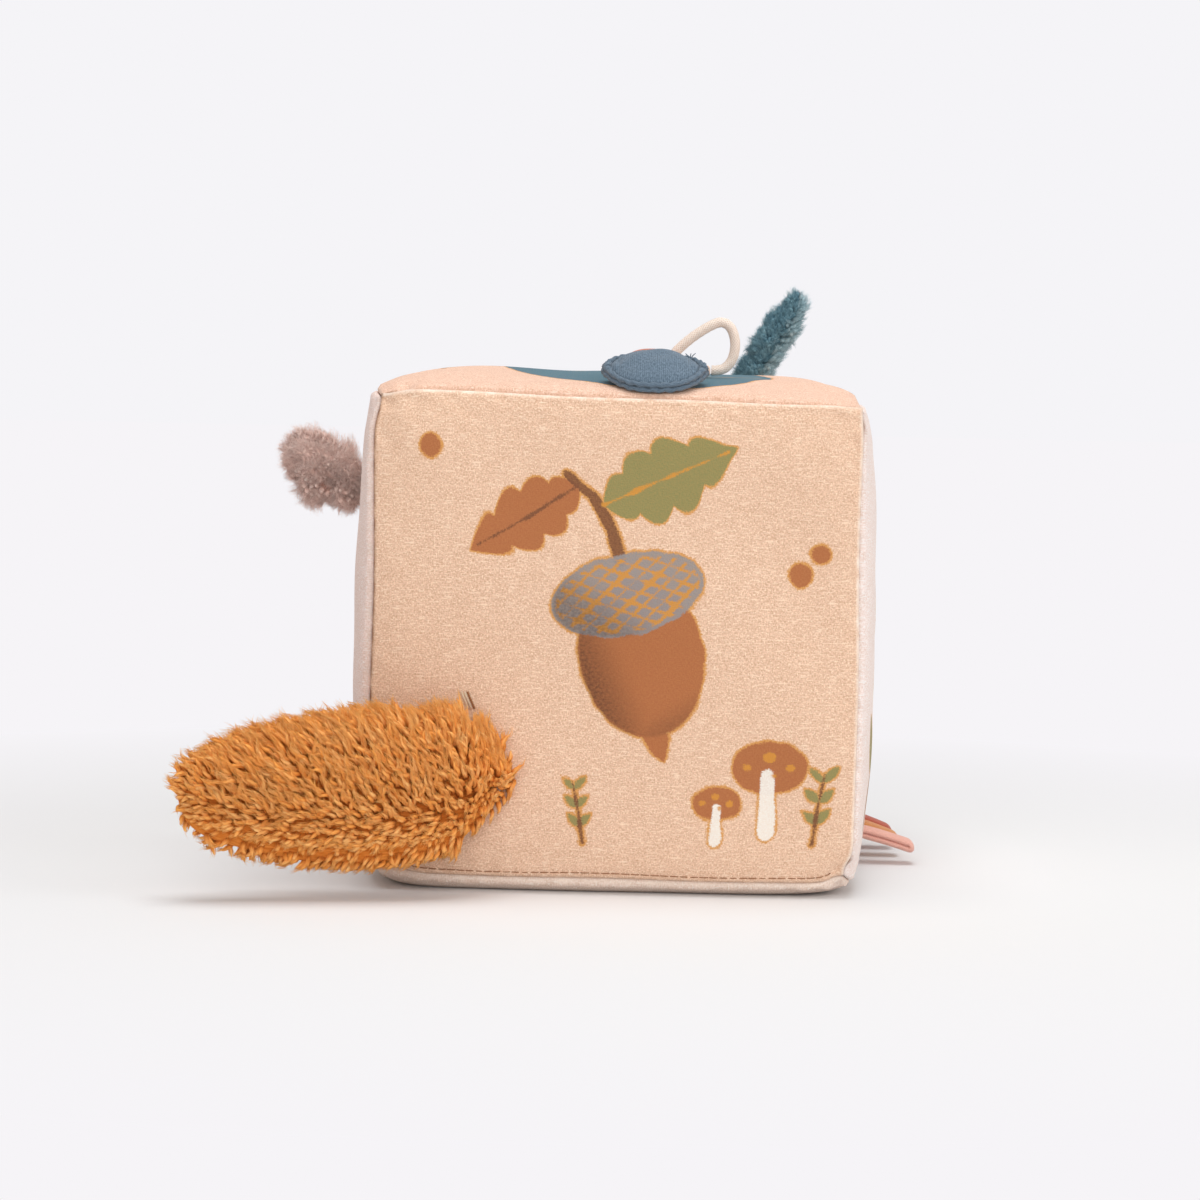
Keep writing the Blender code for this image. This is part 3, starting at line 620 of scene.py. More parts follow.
def smooth_path(points: Points, count: int) -> Points:
    """Points read evenly along a smooth curve through a route's own points.

    Args:
        points: The route's points, one row each.
        count: How many points to read.

    Returns:
        The points, evenly spaced along the curve.
    """
    padded = np.vstack([2 * points[0] - points[1], points, 2 * points[-1] - points[-2]])
    spans = len(points) - 1
    reads = np.linspace(0, spans, spans * 24 + 1)
    span = np.minimum(reads.astype(int), spans - 1)
    t = (reads - span)[:, None]
    before, start, end, after = (padded[span + step] for step in range(4))
    curve = (
        2 * start + (end - before) * t + (2 * before - 5 * start + 4 * end - after) * t ** 2
        + (3 * start - before - 3 * end + after) * t ** 3
    ) / 2
    gone = np.concatenate([[0], np.cumsum(np.linalg.norm(np.diff(curve, axis=0), axis=1))])
    wanted = np.linspace(0, gone[-1], count)
    return np.stack([np.interp(wanted, gone, curve[:, axis]) for axis in range(3)], axis=1)


def carried(along: Points) -> Points:
    """Directions square to a path at each point, carried along it without a twist.

    Args:
        along: The path's own direction at each point.

    Returns:
        One direction for each point.
    """
    side = np.cross(along[0], np.eye(3)[int(np.argmin(np.abs(along[0])))])
    across = []
    for direction in along:
        side = unit(side - direction * (side @ direction))
        across.append(side)
    return np.array(across)


def tube(
    name: str, path: Points, radius: Placing, sides: int, facing: Points | None = None
) -> Mesh:
    """A solid round a path, whose radius may change along it and round it.

    Args:
        name: The mesh's name.
        path: The points that its middle follows.
        radius: Gives the radius for each share along and each angle round.
        sides: Faces round it.
        facing: Which way the plane of a ring faces. A path without it has two ends.

    Returns:
        The closed mesh.
    """
    ring = path if facing is None else np.vstack([path, path[:1]])
    along = unit(np.gradient(ring, axis=0))
    if facing is None:
        across = carried(along)
    else:
        along[0] = along[-1] = unit(ring[1] - ring[-2])
        # A ring turns round its own plane's normal, so that its end meets its start.
        normal = np.linalg.svd(path - path.mean(axis=0))[2][2]
        across = unit(np.cross(along, normal * np.sign(normal @ facing)))
    upright = np.cross(across, along)
    length = np.linalg.norm(np.diff(ring, axis=0), axis=1).sum()

    def place(turned: Points, gone: Points) -> Points:
        """Where the surface lies at a share round it and a share along it.

        Args:
            turned: Shares round it.
            gone: Shares along it.

        Returns:
            The places.
        """
        reads = gone * (len(ring) - 1)
        steps = np.arange(len(ring))
        read = [np.stack([np.interp(reads, steps, rows[:, axis]) for axis in range(3)], axis=1)
                for rows in (ring, across, upright)]
        angle = turned * 2 * pi
        reach = radius(gone, angle)[:, None]
        return read[0] + reach * (read[1] * np.cos(angle)[:, None] + read[2] * np.sin(angle)[:, None])

    girth = 2 * pi * float(radius(np.array([0.5]), np.array([0.0]))[0])
    mesh = mapped_grid(name, sides, len(ring) - 1, place, (girth / MM, length / MM), weld=True)
    return capped(mesh) if facing is None else mesh


def joint_place(frame: Frame, joint: str) -> Points:
    """Where a joint of the frame lies."""
    return np.array(next(found["pos_m"] for found in frame["joints"] if found["name"] == joint))


@dataclass(frozen=True)
class Oval:
    """A tilted oval of a print."""

    ink: Ink
    across: float
    up: float
    half_width: float
    half_height: float
    turn: float = 0.0

    def local(self, at: Points) -> tuple[Points, Points]:
        """Places as seen from the oval's own middle and tilt.

        Args:
            at: Places, in millimetres.

        Returns:
            How far they are to its right and above it.
        """
        c, s = cos(radians(self.turn)), sin(radians(self.turn))
        x, y = at[:, 0] - self.across, at[:, 1] - self.up
        return x * c + y * s, y * c - x * s

    def distance(self, at: Points) -> Points:
        """How far places are outside the oval, in millimetres, less than 0 inside.

        Args:
            at: Places, in millimetres.

        Returns:
            The distances.
        """
        x, y = self.local(at)
        reach = np.hypot(x / self.half_width, y / self.half_height)
        slope = np.hypot(x / self.half_width ** 2, y / self.half_height ** 2)
        return reach * (reach - 1) / np.maximum(slope, 1e-3)


@dataclass(frozen=True)
class Stroke:
    """A drawn line of a print through its own points, thinner towards its end."""

    ink: Ink
    points: tuple[Pair, ...]
    half_width: float
    end_share: float = 0.5

    def distance(self, at: Points) -> Points:
        """How far places are outside the line.

        Args:
            at: Places, in millimetres.

        Returns:
            The distances.
        """
        nearest = np.full(len(at), np.inf)
        spans = len(self.points) - 1
        for step, (start, end) in enumerate(zip(self.points, self.points[1:])):
            a, b = np.array(start), np.array(end)
            t = np.clip(((at - a) @ (b - a)) / ((b - a) @ (b - a)), 0, 1)
            gone = (step + t) / spans
            width = self.half_width * (1 + (self.end_share - 1) * gone)
            nearest = np.minimum(nearest, np.linalg.norm(at - a - t[:, None] * (b - a), axis=1) - width)
        return nearest


@dataclass(frozen=True)
class Leaf:
    """A leaf of a print from its stalk to its tip, plain or lobed as an oak's."""

    ink: Ink
    stalk: Pair
    tip: Pair
    half_width: float
    lobes: int = 0
    lobe_share: float = 0.4

    def distance(self, at: Points) -> Points:
        """How far places are outside the leaf.

        Args:
            at: Places, in millimetres.

        Returns:
            The distances.
        """
        a, b = np.array(self.stalk), np.array(self.tip)
        length = float(np.linalg.norm(b - a))
        along = (b - a) / length
        gone = ((at - a) @ along) / length
        aside = np.abs((at - a) @ np.array([-along[1], along[0]]))
        t = np.clip(gone, 0, 1)
        width = self.half_width * np.sin(pi * t ** 0.85) ** 0.8
        if self.lobes:
            lobe = np.abs(np.sin(pi * (self.lobes * t + 0.35 * np.abs(aside) / self.half_width))) ** 0.6
            width = width * (1 - self.lobe_share + self.lobe_share * lobe)
        past = np.maximum(np.abs(gone - 0.5) - 0.5, 0) * length
        return np.maximum(aside - width, 0) + past + np.minimum(aside - width, 0) * (past == 0)


@dataclass(frozen=True)
class Crosshatch:
    """Two sets of fine lines across an oval of a print."""

    ink: Ink
    within: Oval
    spacing: float
    half_width: float

    def distance(self, at: Points) -> Points:
        """How far places are outside the lines, which stop short of the oval's edge.

        Args:
            at: Places, in millimetres.

        Returns:
            The distances.
        """
        x, y = self.within.local(at)
        lines = (np.abs((way / self.spacing) % 1 - 0.5) * self.spacing / 1.9 - self.half_width
                 for way in (x + 1.6 * y, x - 1.6 * y))
        return np.maximum(np.minimum(*lines), self.within.distance(at) + 1.2)


@dataclass(frozen=True)
class Shade:
    """A soft shadow drawn down one side of a print's oval."""

    within: Oval
    towards: float
    start: float
    reach: float
    depth: float = 0.75

    def strength(self, at: Points) -> Points:
        """How dark places are, from 0 to 1.

        Args:
            at: Places, in millimetres.

        Returns:
            The strengths.
        """
        x, y = at[:, 0] - self.within.across, at[:, 1] - self.within.up
        aside = x * cos(radians(self.towards)) + y * sin(radians(self.towards))
        inside = np.clip(0.5 - self.within.distance(at), 0, 1)
        return inside * eased((aside - self.start) / self.reach) * self.depth


Mark = Oval | Stroke | Leaf | Crosshatch


@dataclass(frozen=True)
class Print:
    """Everything that is printed on one face."""

    marks: tuple[Mark, ...] = ()
    shades: tuple[Shade, ...] = ()
    bare: tuple[Mark, ...] = ()

    def inks(self) -> tuple[Ink, ...]:
        """The inks in use, in the order that they are laid."""
        used = {mark.ink for mark in (*self.marks, *self.bare)}
        return tuple(ink for ink in Ink if ink in used)

    def values(self, at: Points) -> dict[str, Points]:
        """The numbers that the printed material reads.

        Args:
            at: Places on the face, in millimetres from its middle.

        Returns:
            The distance from each ink's edge, from the outlined edge, and the shadows' strength.
        """
        far = np.full(len(at), 50.0)
        found = {ink_attribute(ink): far.copy() for ink in self.inks()}
        edge = far.copy()
        wobble = ripple(at, 7.0, 31) * 0.25
        for mark in (*self.marks, *self.bare):
            distance = mark.distance(at) + wobble
            key = ink_attribute(mark.ink)
            found[key] = np.minimum(found[key], distance)
            if mark in self.marks:
                edge = np.minimum(edge, distance)
        found["ink_edge"] = edge
        dark = np.zeros(len(at))
        for shade in self.shades:
            dark = np.maximum(dark, shade.strength(at))
        found["ink_shade"] = dark
        return found


def sprig(ink: Ink, foot: Pair, height: float, lean: float, leaves: int) -> list[Mark]:
    """A stalk with paired leaves.

    Args:
        ink: The leaves' ink.
        foot: Where the stalk starts.
        height: Its length.
        lean: How far its tip lies aside.
        leaves: How many pairs of leaves it has.

    Returns:
        The sprig's marks.
    """
    x, y = foot
    stalk = ((x, y), (x + lean * 0.4, y + height * 0.5), (x + lean, y + height))
    marks: list[Mark] = [Stroke(Ink.BARK, stalk, 0.55)]
    for pair in range(leaves):
        share = 0.3 + 0.6 * pair / max(1, leaves - 1)
        root = (x + lean * share, y + height * share)
        for side in (-1, 1):
            tip = (root[0] + side * height * 0.2, root[1] + height * 0.2)
            marks.append(Leaf(ink, root, tip, height * 0.06))
    return marks


def toadstool(foot: Pair, height: float, half_cap: float) -> tuple[list[Mark], list[Mark]]:
    """A toadstool with a rust cap.

    Args:
        foot: The middle of the stem's foot.
        height: From the foot to the top of the cap.
        half_cap: Half the cap's width.

    Returns:
        The outlined marks, and the spots that have no outline.
    """
    x, y = foot
    stem = Stroke(Ink.WHITE, ((x, y + 2), (x + 0.6, y + height * 0.66)), half_cap * 0.24, 0.75)
    cap = Oval(Ink.RUST, x + 0.8, y + height * 0.74, half_cap, height * 0.27, 4)
    spots: list[Mark] = [
        Oval(Ink.OCHRE, x + dx * half_cap, y + height * up, half_cap * size, half_cap * size * 0.8)
        for dx, up, size in ((-0.5, 0.74, 0.13), (0.05, 0.85, 0.16), (0.62, 0.74, 0.12), (0.2, 0.66, 0.09))
    ]
    return [stem, cap], spots


def front_print() -> Print:
    """A tilted acorn on its twig with two oak leaves, and toadstools and sprigs below it.

    Returns:
        The print.
    """
    body = Oval(Ink.RUST, 8.0, -4.0, 17.5, 22.5, 14)
    cap = Oval(Ink.SLATE, 4.0, 13.5, 21.5, 11.5, 14)
    marks: list[Mark] = [
        body,
        Leaf(Ink.RUST, (11, -20), (15, -33), 3.4),
        cap,
        Stroke(Ink.BARK, ((1.5, 23), (-1, 32), (-6, 40), (-14, 46)), 1.8, 0.6),
        Leaf(Ink.LEAF, (-3, 38), (33, 55), 11.0, 4),
        Leaf(Ink.RUST, (-10, 43), (-40, 24), 9.5, 4),
    ]
    bare: list[Mark] = [
        Crosshatch(Ink.OCHRE, cap, 6.2, 0.4),
        Stroke(Ink.OCHRE, ((-3, 38), (10, 44.5), (31, 54)), 0.5),
        Stroke(Ink.BARK, ((-10, 43), (-22, 35), (-38, 25.5)), 0.5),
    ]
    for foot, height, half_cap in (((44, -54), 27, 10.5), (((29, -57)), 17, 7.0)):
        solid, spots = toadstool(foot, height, half_cap)
        marks += solid
        bare += spots
    marks += sprig(Ink.LEAF, (57, -56), 20, 3, 3)
    marks += sprig(Ink.LEAF, (-8, -57), 17, -3, 3)
    berries = ((52, 20, 3.2, 3.2), (58, 26, 2.6, 2.6), (-52, 52, 3.0, 3.0))
    marks += [Oval(Ink.RUST, *berry) for berry in berries]
    shades = (Shade(body, 205, 2.0, 16.0), Shade(cap, 235, 0.0, 14.0, 0.55), Shade(body, -60, 14.0, 9.0, 0.4))
    return Print(tuple(marks), shades, tuple(bare))


def top_print() -> Print:
    """A pond with lily leaves, and a few sprigs.

    Returns:
        The print.
    """
    pond = Oval(Ink.TEAL, 2.5, -3.0, 40.0, 62.0, 13)
    leaves = ((-10, 18, 8, 6), (14, 30, 6, 4.5), (8, 4, 7, 5), (-16, -6, 5, 4))
    pads: list[Mark] = [Oval(Ink.LEAF, *leaf) for leaf in leaves]
    pads += [Oval(Ink.WHITE, 15, 31, 2.2, 2), Stroke(Ink.OCHRE, ((20, -14), (30, -13), (40, -15)), 0.9)]
    marks = [pond, *sprig(Ink.LEAF, (-52, -30), 16, 4, 3), *sprig(Ink.LEAF, (-58, 30), 18, 3, 3)]
    return Print(tuple(marks), (), tuple(pads))


def blossom_print() -> Print:
    """A branch with white blossoms outlined in ochre.

    Returns:
        The print.
    """
    marks: list[Mark] = [Stroke(Ink.BARK, ((-52, -52), (-24, -22), (4, 4), (38, 46)), 1.5)]
    for across, up, size in ((0, 6, 13), (-30, -18, 10), (30, 34, 10), (26, -28, 9)):
        for petal in range(5):
            turn = 2 * pi * petal / 5 + 0.4
            tip = (across + size * cos(turn), up + size * sin(turn))
            marks.append(Leaf(Ink.WHITE, (across, up), tip, size * 0.34))
    hearts = tuple(Oval(Ink.OCHRE, x, y, 2.6, 2.6) for x, y in ((0, 6), (-30, -18), (30, 34), (26, -28)))
    leaves = (((-12, -12), (-34, 6), 5), ((14, 16), (6, 42), 5), ((-40, -38), (-54, -20), 4))
    marks += [Leaf(Ink.LEAF, *leaf) for leaf in leaves]
    return Print(tuple(marks), (), hearts)


def leaf_print() -> Print:
    """Single fallen leaves.

    Returns:
        The print.
    """
    places = (
        (-42, 38, 40), (0, 50, 160), (40, 30, 250), (-20, 2, 300),
        (26, -12, 80), (-48, -34, 10), (4, -46, 200), (50, -48, 120),
    )
    marks = []
    for count, (x, y, turn) in enumerate(places):
        tip = (x + 22 * cos(radians(turn)), y + 22 * sin(radians(turn)))
        marks.append(Leaf((Ink.RUST, Ink.LEAF, Ink.TEAL)[count % 3], (x, y), tip, 6, 3 * (count % 2)))
    return Print(tuple(marks))


def hill_print() -> Print:
    """Rolling hills with simple fir trees.

    Returns:
        The print.
    """
    marks: list[Mark] = [Oval(Ink.LEAF, -24, -62, 46, 34), Oval(Ink.TEAL, 32, -66, 40, 46)]
    for x, y, height in ((-40, -26, 40), (-16, -28, 50), (24, -18, 46), (46, -26, 34)):
        marks.append(Stroke(Ink.BARK, ((x, y), (x, y + height * 0.3)), 1.4, 1.0))
        ink = Ink.SLATE if x > 0 else Ink.RUST
        marks.append(Leaf(ink, (x, y + 5), (x, y + height), height * 0.17, 4, 0.35))
    return Print(tuple(marks), (), (Oval(Ink.OCHRE, 40, 46, 8, 8),))


@dataclass(frozen=True)
class Seam:
    """How one edge of a face is sewn.

    Its cloth stands over or short of the seam line by reach. A painted highlight makes it pale along its
    fold, and painted shade makes it dark along the seam, and darker still towards the seam's ends where that
    is set.
    """

    reach: float = 0.0
    pale: float = 0.3
    dark: float = 0.15
    shade_at_ends: float = 0.15


@dataclass(frozen=True)
class Face:
    """One face of the cube: its axes, the half sizes along them, its crown and its four seams.

    Its fullness across and along says how level its crown stays before it falls off to the seams.
    """

    node: str
    across: Points
    along: Points
    outward: Points
    half_across: float
    half_along: float
    half_through: float
    crown: float
    most_bulge: float
    middle: Points
    seams: tuple[Seam, Seam, Seam, Seam]
    fullness: Pair

    def bulge(self, u: Points, v: Points) -> Points:
        """How far the cloth stands out at u, v, which run from -1 to 1.

        Args:
            u: Shares across, from -1 to 1.
            v: Shares along, from -1 to 1.

        Returns:
            The heights.
        """
        fill = np.full(len(u), self.crown)
        for share, full in zip((u, v), self.fullness):
            fill *= np.clip(1 - np.abs(share) ** full, 0, 1) ** (0.35 + 0.025 * full)
        return np.minimum(fill, self.most_bulge)

    def surface(self, u: Points, v: Points, lift: float = 0.0) -> Points:
        """The smooth face at u, v, or a layer that lies lift above it.

        Args:
            u: Shares across, from -1 to 1.
            v: Shares along, from -1 to 1.
            lift: How far the layer lies above the face.

        Returns:
            The places.
        """
        return (
            self.middle
            + outer(u * self.half_across, self.across)
            + outer(v * self.half_along, self.along)
            + outer(self.half_through + lift + self.bulge(u, v), self.outward)
        )


@dataclass
class CubeCover:
    """The cube's six sewn faces: crowns, seams, puckers, slack, and painted highlight and shade at the seams.
    """

    columns: int = 290
    half_sizes: Triple = (70.0 * MM, 70.0 * MM, 68.75 * MM)
    rim: float = 0.9985
    ridge: float = 0.3 * MM
    ridge_at: float = 0.7 * MM
    ridge_width: float = 0.6 * MM
    fold_depth: float = 1.6 * MM
    seam_room: float = 0.06 * MM
    seam_hold: float = 1.6 * MM
    pucker_height: float = 0.2 * MM
    pucker_length: float = 6.0 * MM
    pucker_reach: float = 4.5 * MM
    corner_gather: float = 2.4
    gather_reach: float = 13.0 * MM
    slack: float = 0.35 * MM
    slack_length: float = 38.0 * MM
    slack_start: float = 12.0 * MM
    sway: float = 0.4 * MM
    sway_length: float = 45.0 * MM
    floor_start: float = 0.8 * MM
    floor_reach: float = 5.0 * MM
    bottom_crown: float = 9.0 * MM
    level_fullness: Pair = (6.0, 2.0)
    # Where the painted highlight along a seam's fold and the painted shade along the seam start from it, and
    # how far each reaches, in millimetres.
    painted_highlight_band: Pair = (0.15, 0.38)
    painted_shade_band: Pair = (0.1, 0.55)
    end_shade_reach: float = 7.0
    # The dents of the top face by its front corners: right, back and depth, in millimetres.
    dents: tuple[Triple, ...] = ((-61.5, -67.5, 1.5), (63.5, -67.0, 1.1))
    dent_width: float = 2.4 * MM
    dent_length: float = 3.2 * MM
    # How far a corner is pulled in and how far from it that is felt, in millimetres, plain or by its signs.
    plain_tuck: Pair = (1.8, 9.0)
    corner_tucks: dict[tuple[int, int, int], Pair] = field(default_factory=lambda: {
        (-1, -1, 1): (3.2, 7.5), (1, -1, 1): (0.9, 6.0), (1, -1, -1): (4.4, 6.2), (-1, -1, -1): (3.6, 9.0),
    })

    def faces(self) -> dict[str, Face]:
        """Reads the six faces from the frame's own boxes.

        Returns:
            Each face by its node.
        """
        inset = SEAM_GAP / sqrt(2)
        half_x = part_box("front_panel")[1].x + inset
        half_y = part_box("left_panel")[1].y + inset
        low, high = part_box("left_panel")[0].z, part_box("left_panel")[1].z
        half_z = (high - low) / 2 + inset
        middle = np.array([0.0, 0.0, (high + low) / 2])
        x, y, z = np.eye(3)
        axes = {
            "front_panel": (x, z, -y, half_x, half_z, half_y),
            "back_panel": (-x, z, y, half_x, half_z, half_y),
            "left_panel": (-y, z, -x, half_y, half_z, half_x),
            "right_panel": (y, z, x, half_y, half_z, half_x),
            "top_panel": (x, y, z, half_x, half_y, half_z),
            "bottom_panel": (x, -y, -z, half_x, half_y, half_z),
        }
        found = {}
        for node, (across, along, outward, half_across, half_along, half_through) in axes.items():
            ends = [np.array(corner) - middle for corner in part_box(node)]
            reach = max(float(end @ outward) for end in ends) - half_through
            crown = self.bottom_crown if node == "bottom_panel" else reach
            sizes = (half_across, half_along, half_through, crown, reach)
            fullness = self.level_fullness if abs(outward[2]) == 1 else (2.0, 2.0)
            found[node] = Face(node, across, along, outward, *sizes, middle, self.seams(node), fullness)
        return found

    def seams(self, node: str) -> tuple[Seam, Seam, Seam, Seam]:
        """The seams at a face's low and high edge across, then at its low and high edge along.

        Args:
            node: The face's node.

        Returns:
            The four seams.
        """
        # Each seam's pale share paints a highlight along its fold, and its dark shares paint shade along the
        # seam and near its ends. The front's left edge and the edges tucked under at the front are painted
        # darkest.
        plain, under = Seam(), Seam(reach=-0.15 * MM, pale=0.0, shade_at_ends=0.95)
        return {
            "front_panel": (Seam(-0.1 * MM, 0.0, 0.9), Seam(0.55 * MM, 1.0, 0.0),
                            Seam(0.15 * MM, 0.2, 0.35), Seam(0.85 * MM, 0.75, 0.0)),
            "top_panel": (plain, plain, under, plain),
            "right_panel": (under, plain, plain, plain),
            "bottom_panel": (plain, plain, plain, Seam(0.0, 0.5, 0.0)),
        }.get(node, (plain, plain, plain, plain))

    def settled(self, places: Points, middle: Points) -> Points:
        """Tucks the cube's corners in and lets its seams sway, alike for all that meets there.

        Args:
            places: Places on the cube.
            middle: The cube's middle.

        Returns:
            Where they come to lie.
        """
        offset = places - middle
        moved = np.zeros_like(places)
        for corner in product((-1, 1), repeat=3):
            signs = np.array(corner)
            away = np.linalg.norm(offset - signs * self.half_sizes, axis=1)
            tuck, reach = self.corner_tucks.get(corner, self.plain_tuck)
            moved -= outer(tuck * MM * hump(away, reach * MM), signs / sqrt(3))
        # In front, the upper left corner stands a little higher, and the lower left one leans in.
        for corner, axis, shift, reach in (((-1, -1, 1), 2, 2.4, 60.0), ((-1, -1, -1), 0, 2.2, 26.0)):
            away = np.linalg.norm(offset - np.multiply(corner, self.half_sizes), axis=1)
            moved[:, axis] += shift * MM * hump(away, reach * MM)
        moved += np.stack([ripple(places, self.sway_length, seed) for seed in (1, 2, 3)], axis=1) * self.sway
        moved[:, 2] *= np.clip((places[:, 2] - self.floor_start) / self.floor_reach, 0, 1)
        return places + moved

    def cloth_place(self, face: Face, seed: int) -> Placing:
        """Where the cloth of a face lies, from its middle to the edge that is turned into the seam.

        Args:
            face: The face.
            seed: Which puckers and slack it has.

        Returns:
            What places each pair of shares.
        """
        fold_u = self.fold_depth / (face.half_across + self.fold_depth)
        fold_v = self.fold_depth / (face.half_along + self.fold_depth)

        def place(a: Points, b: Points) -> Points:
            """Where the cloth lies at these shares across it and along it.

            Args:
                a: Shares across.
                b: Shares along.

            Returns:
                The places.
            """
            s, t = 2 * a - 1, 2 * b - 1
            u, v = np.clip(s / (1 - fold_u), -1, 1), np.clip(t / (1 - fold_v), -1, 1)
            turned_u = np.clip((np.abs(s) - 1 + fold_u) / fold_u, 0, 1) * np.sign(s)
            turned_v = np.clip((np.abs(t) - 1 + fold_v) / fold_v, 0, 1) * np.sign(t)
            places = face.surface(u * self.rim, v * self.rim)
            swell = face.bulge(u * self.rim, v * self.rim)
            ways = (
                (u, turned_u, face.seams[:2], face.across, face.half_across),
                (v, turned_v, face.seams[2:], face.along, face.half_along),
            )
            for share, turned, seams, direction, half in ways:
                reach = np.where(share < 0, seams[0].reach, seams[1].reach)
                places += outer(reach * np.sign(share) * np.abs(share) ** 40, direction)
                # Below the lip, the cloth draws close to the one that it is sewn to.
                short = np.maximum(swell + (1 - self.rim) * half - reach - self.seam_room, 0) / 2
                short *= eased(np.abs(turned) / 0.5)
                places += outer(short * np.sign(turned), direction)
                places -= outer(short, face.outward)
            depth = self.fold_depth / sqrt(2)
            places -= outer(turned_u * depth, face.across)
            places -= outer(turned_v * depth, face.along)
            places -= outer(np.maximum(np.abs(turned_u), np.abs(turned_v)) * depth, face.outward)
            edge_u = (1 - np.abs(u)) * face.half_across
            edge_v = (1 - np.abs(v)) * face.half_along
            edge = np.minimum(edge_u, edge_v)
            corner = np.hypot(edge_u, edge_v)
            gather = 1 + self.corner_gather * np.exp(-corner / self.gather_reach)
            # The seam itself holds both cloths, so the puckers fade out at it.
            held = eased(edge / self.seam_hold)
            pucker = ripple(places, self.pucker_length, seed) * np.exp(-edge / self.pucker_reach)
            pucker *= gather * held
            slack = ripple(places, self.slack_length, seed + 1) * self.slack
            slack *= np.clip(edge / self.slack_start, 0, 1)
            ridge = self.ridge * hump(edge - self.ridge_at, self.ridge_width)
            lift = self.pucker_height * pucker + slack + ridge
            if face.node == "bottom_panel":
                lift = lift * (places[:, 2] > 1.5 * MM)
            elif face.node == "top_panel":
                lift = lift - self.pinches(places)
            places += outer(lift, face.outward)
            return self.settled(places, face.middle)

        return place

    def seam_highlight_and_shade(self, face: Face, at: Points) -> dict[str, Points]:
        """The painted highlight and painted shade along the cloth's four seams.

        Args:
            face: The face.
            at: Places on it, in millimetres from its middle.

        Returns:
            The strengths, under the names that the cotton reads.
        """
        half = np.array([face.half_across, face.half_along])
        half = half ** 2 / (half + self.fold_depth) / MM
        edges = [at[:, 0] + half[0], half[0] - at[:, 0], at[:, 1] + half[1], half[1] - at[:, 1]]
        uneven = 0.8 + 0.35 * ripple(at, 5.0, 8)
        fold, crease = np.zeros(len(at)), np.zeros(len(at))
        ends = [np.minimum(edges[2], edges[3])] * 2 + [np.minimum(edges[0], edges[1])] * 2
        for edge, end, seam in zip(edges, ends, face.seams):
            by_end = np.exp(-((end / self.end_shade_reach) ** 4)) * (seam.shade_at_ends > seam.dark)
            dark = seam.dark + (seam.shade_at_ends - seam.dark) * by_end
            bands = (self.painted_highlight_band, self.painted_shade_band)
            highlight_strength, shade_strength = (hump(np.maximum(edge - start, 0), reach) for start, reach in bands)
            fold, crease = np.maximum(fold, seam.pale * highlight_strength), np.maximum(crease, dark * shade_strength)
        return {"fold": np.clip(fold * uneven, 0, 1), "crease": np.clip(crease * uneven, 0, 1)}

    def pinches(self, places: Points) -> Points:
        """The small dents in the top face beside its two front corners.

        Args:
            places: Places on the top face.

        Returns:
            How deep the dents are there.
        """
        dent = np.zeros(len(places))
        for x, y, depth in self.dents:
            across = (places[:, 0] - x * MM) / self.dent_width
            along = (places[:, 1] - y * MM) / self.dent_length
            dent += depth * MM * np.exp(-across ** 2 - along ** 2)
        return dent

    def build(self) -> None:
        """Makes the six faces with their prints."""
        cloths: dict[str, tuple[str, str, Print, str]] = {
            "front_panel": ("beige_slub_cotton", "#E9C3A7", front_print(), "front_cotton"),
            "back_panel": ("pale_printed_cotton_back", "#EFD9CD", hill_print(), "back_cotton"),
            "left_panel": ("pale_pink_cotton_left", "#F4DCD3", leaf_print(), "left_cotton"),
            "right_panel": ("pale_pink_cotton_right", "#FAE6DF", blossom_print(), "right_cotton"),
            "top_panel": ("peach_cotton_top", "#EBC2AA", top_print(), "top_cotton"),
            "bottom_panel": ("plain_cotton_base", "#F0D9CA", Print(), "bottom_cotton"),
        }
        for seed, (node, face) in enumerate(self.faces().items()):
            name, ground, printed, slot = cloths[node]
            contrast = {"front_panel": 1.0, "top_panel": 0.95}.get(node, 0.75)
            finish = SlubCotton(name, ground, printed.inks(), contrast=contrast)
            columns = self.columns if node == "front_panel" else self.columns * 5 // 8
            size = (2 * face.half_across / MM, 2 * face.half_along / MM)

            def values(a: Points, b: Points) -> dict[str, Points]:
                """The print's numbers and the painted seam highlight and shade at these shares."""
                at = np.stack([(a - 0.5) * size[0], (b - 0.5) * size[1]], axis=1)
                return {**(printed.values(at) if printed.marks else {}), **self.seam_highlight_and_shade(face, at)}

            place = self.cloth_place(face, 10 + 2 * seed)
            mesh = mapped_grid(f"{node}_cloth", columns, columns, place, size, values=values)
            dressed(f"{node}_cloth", mesh, finish.build(), "cube", node)


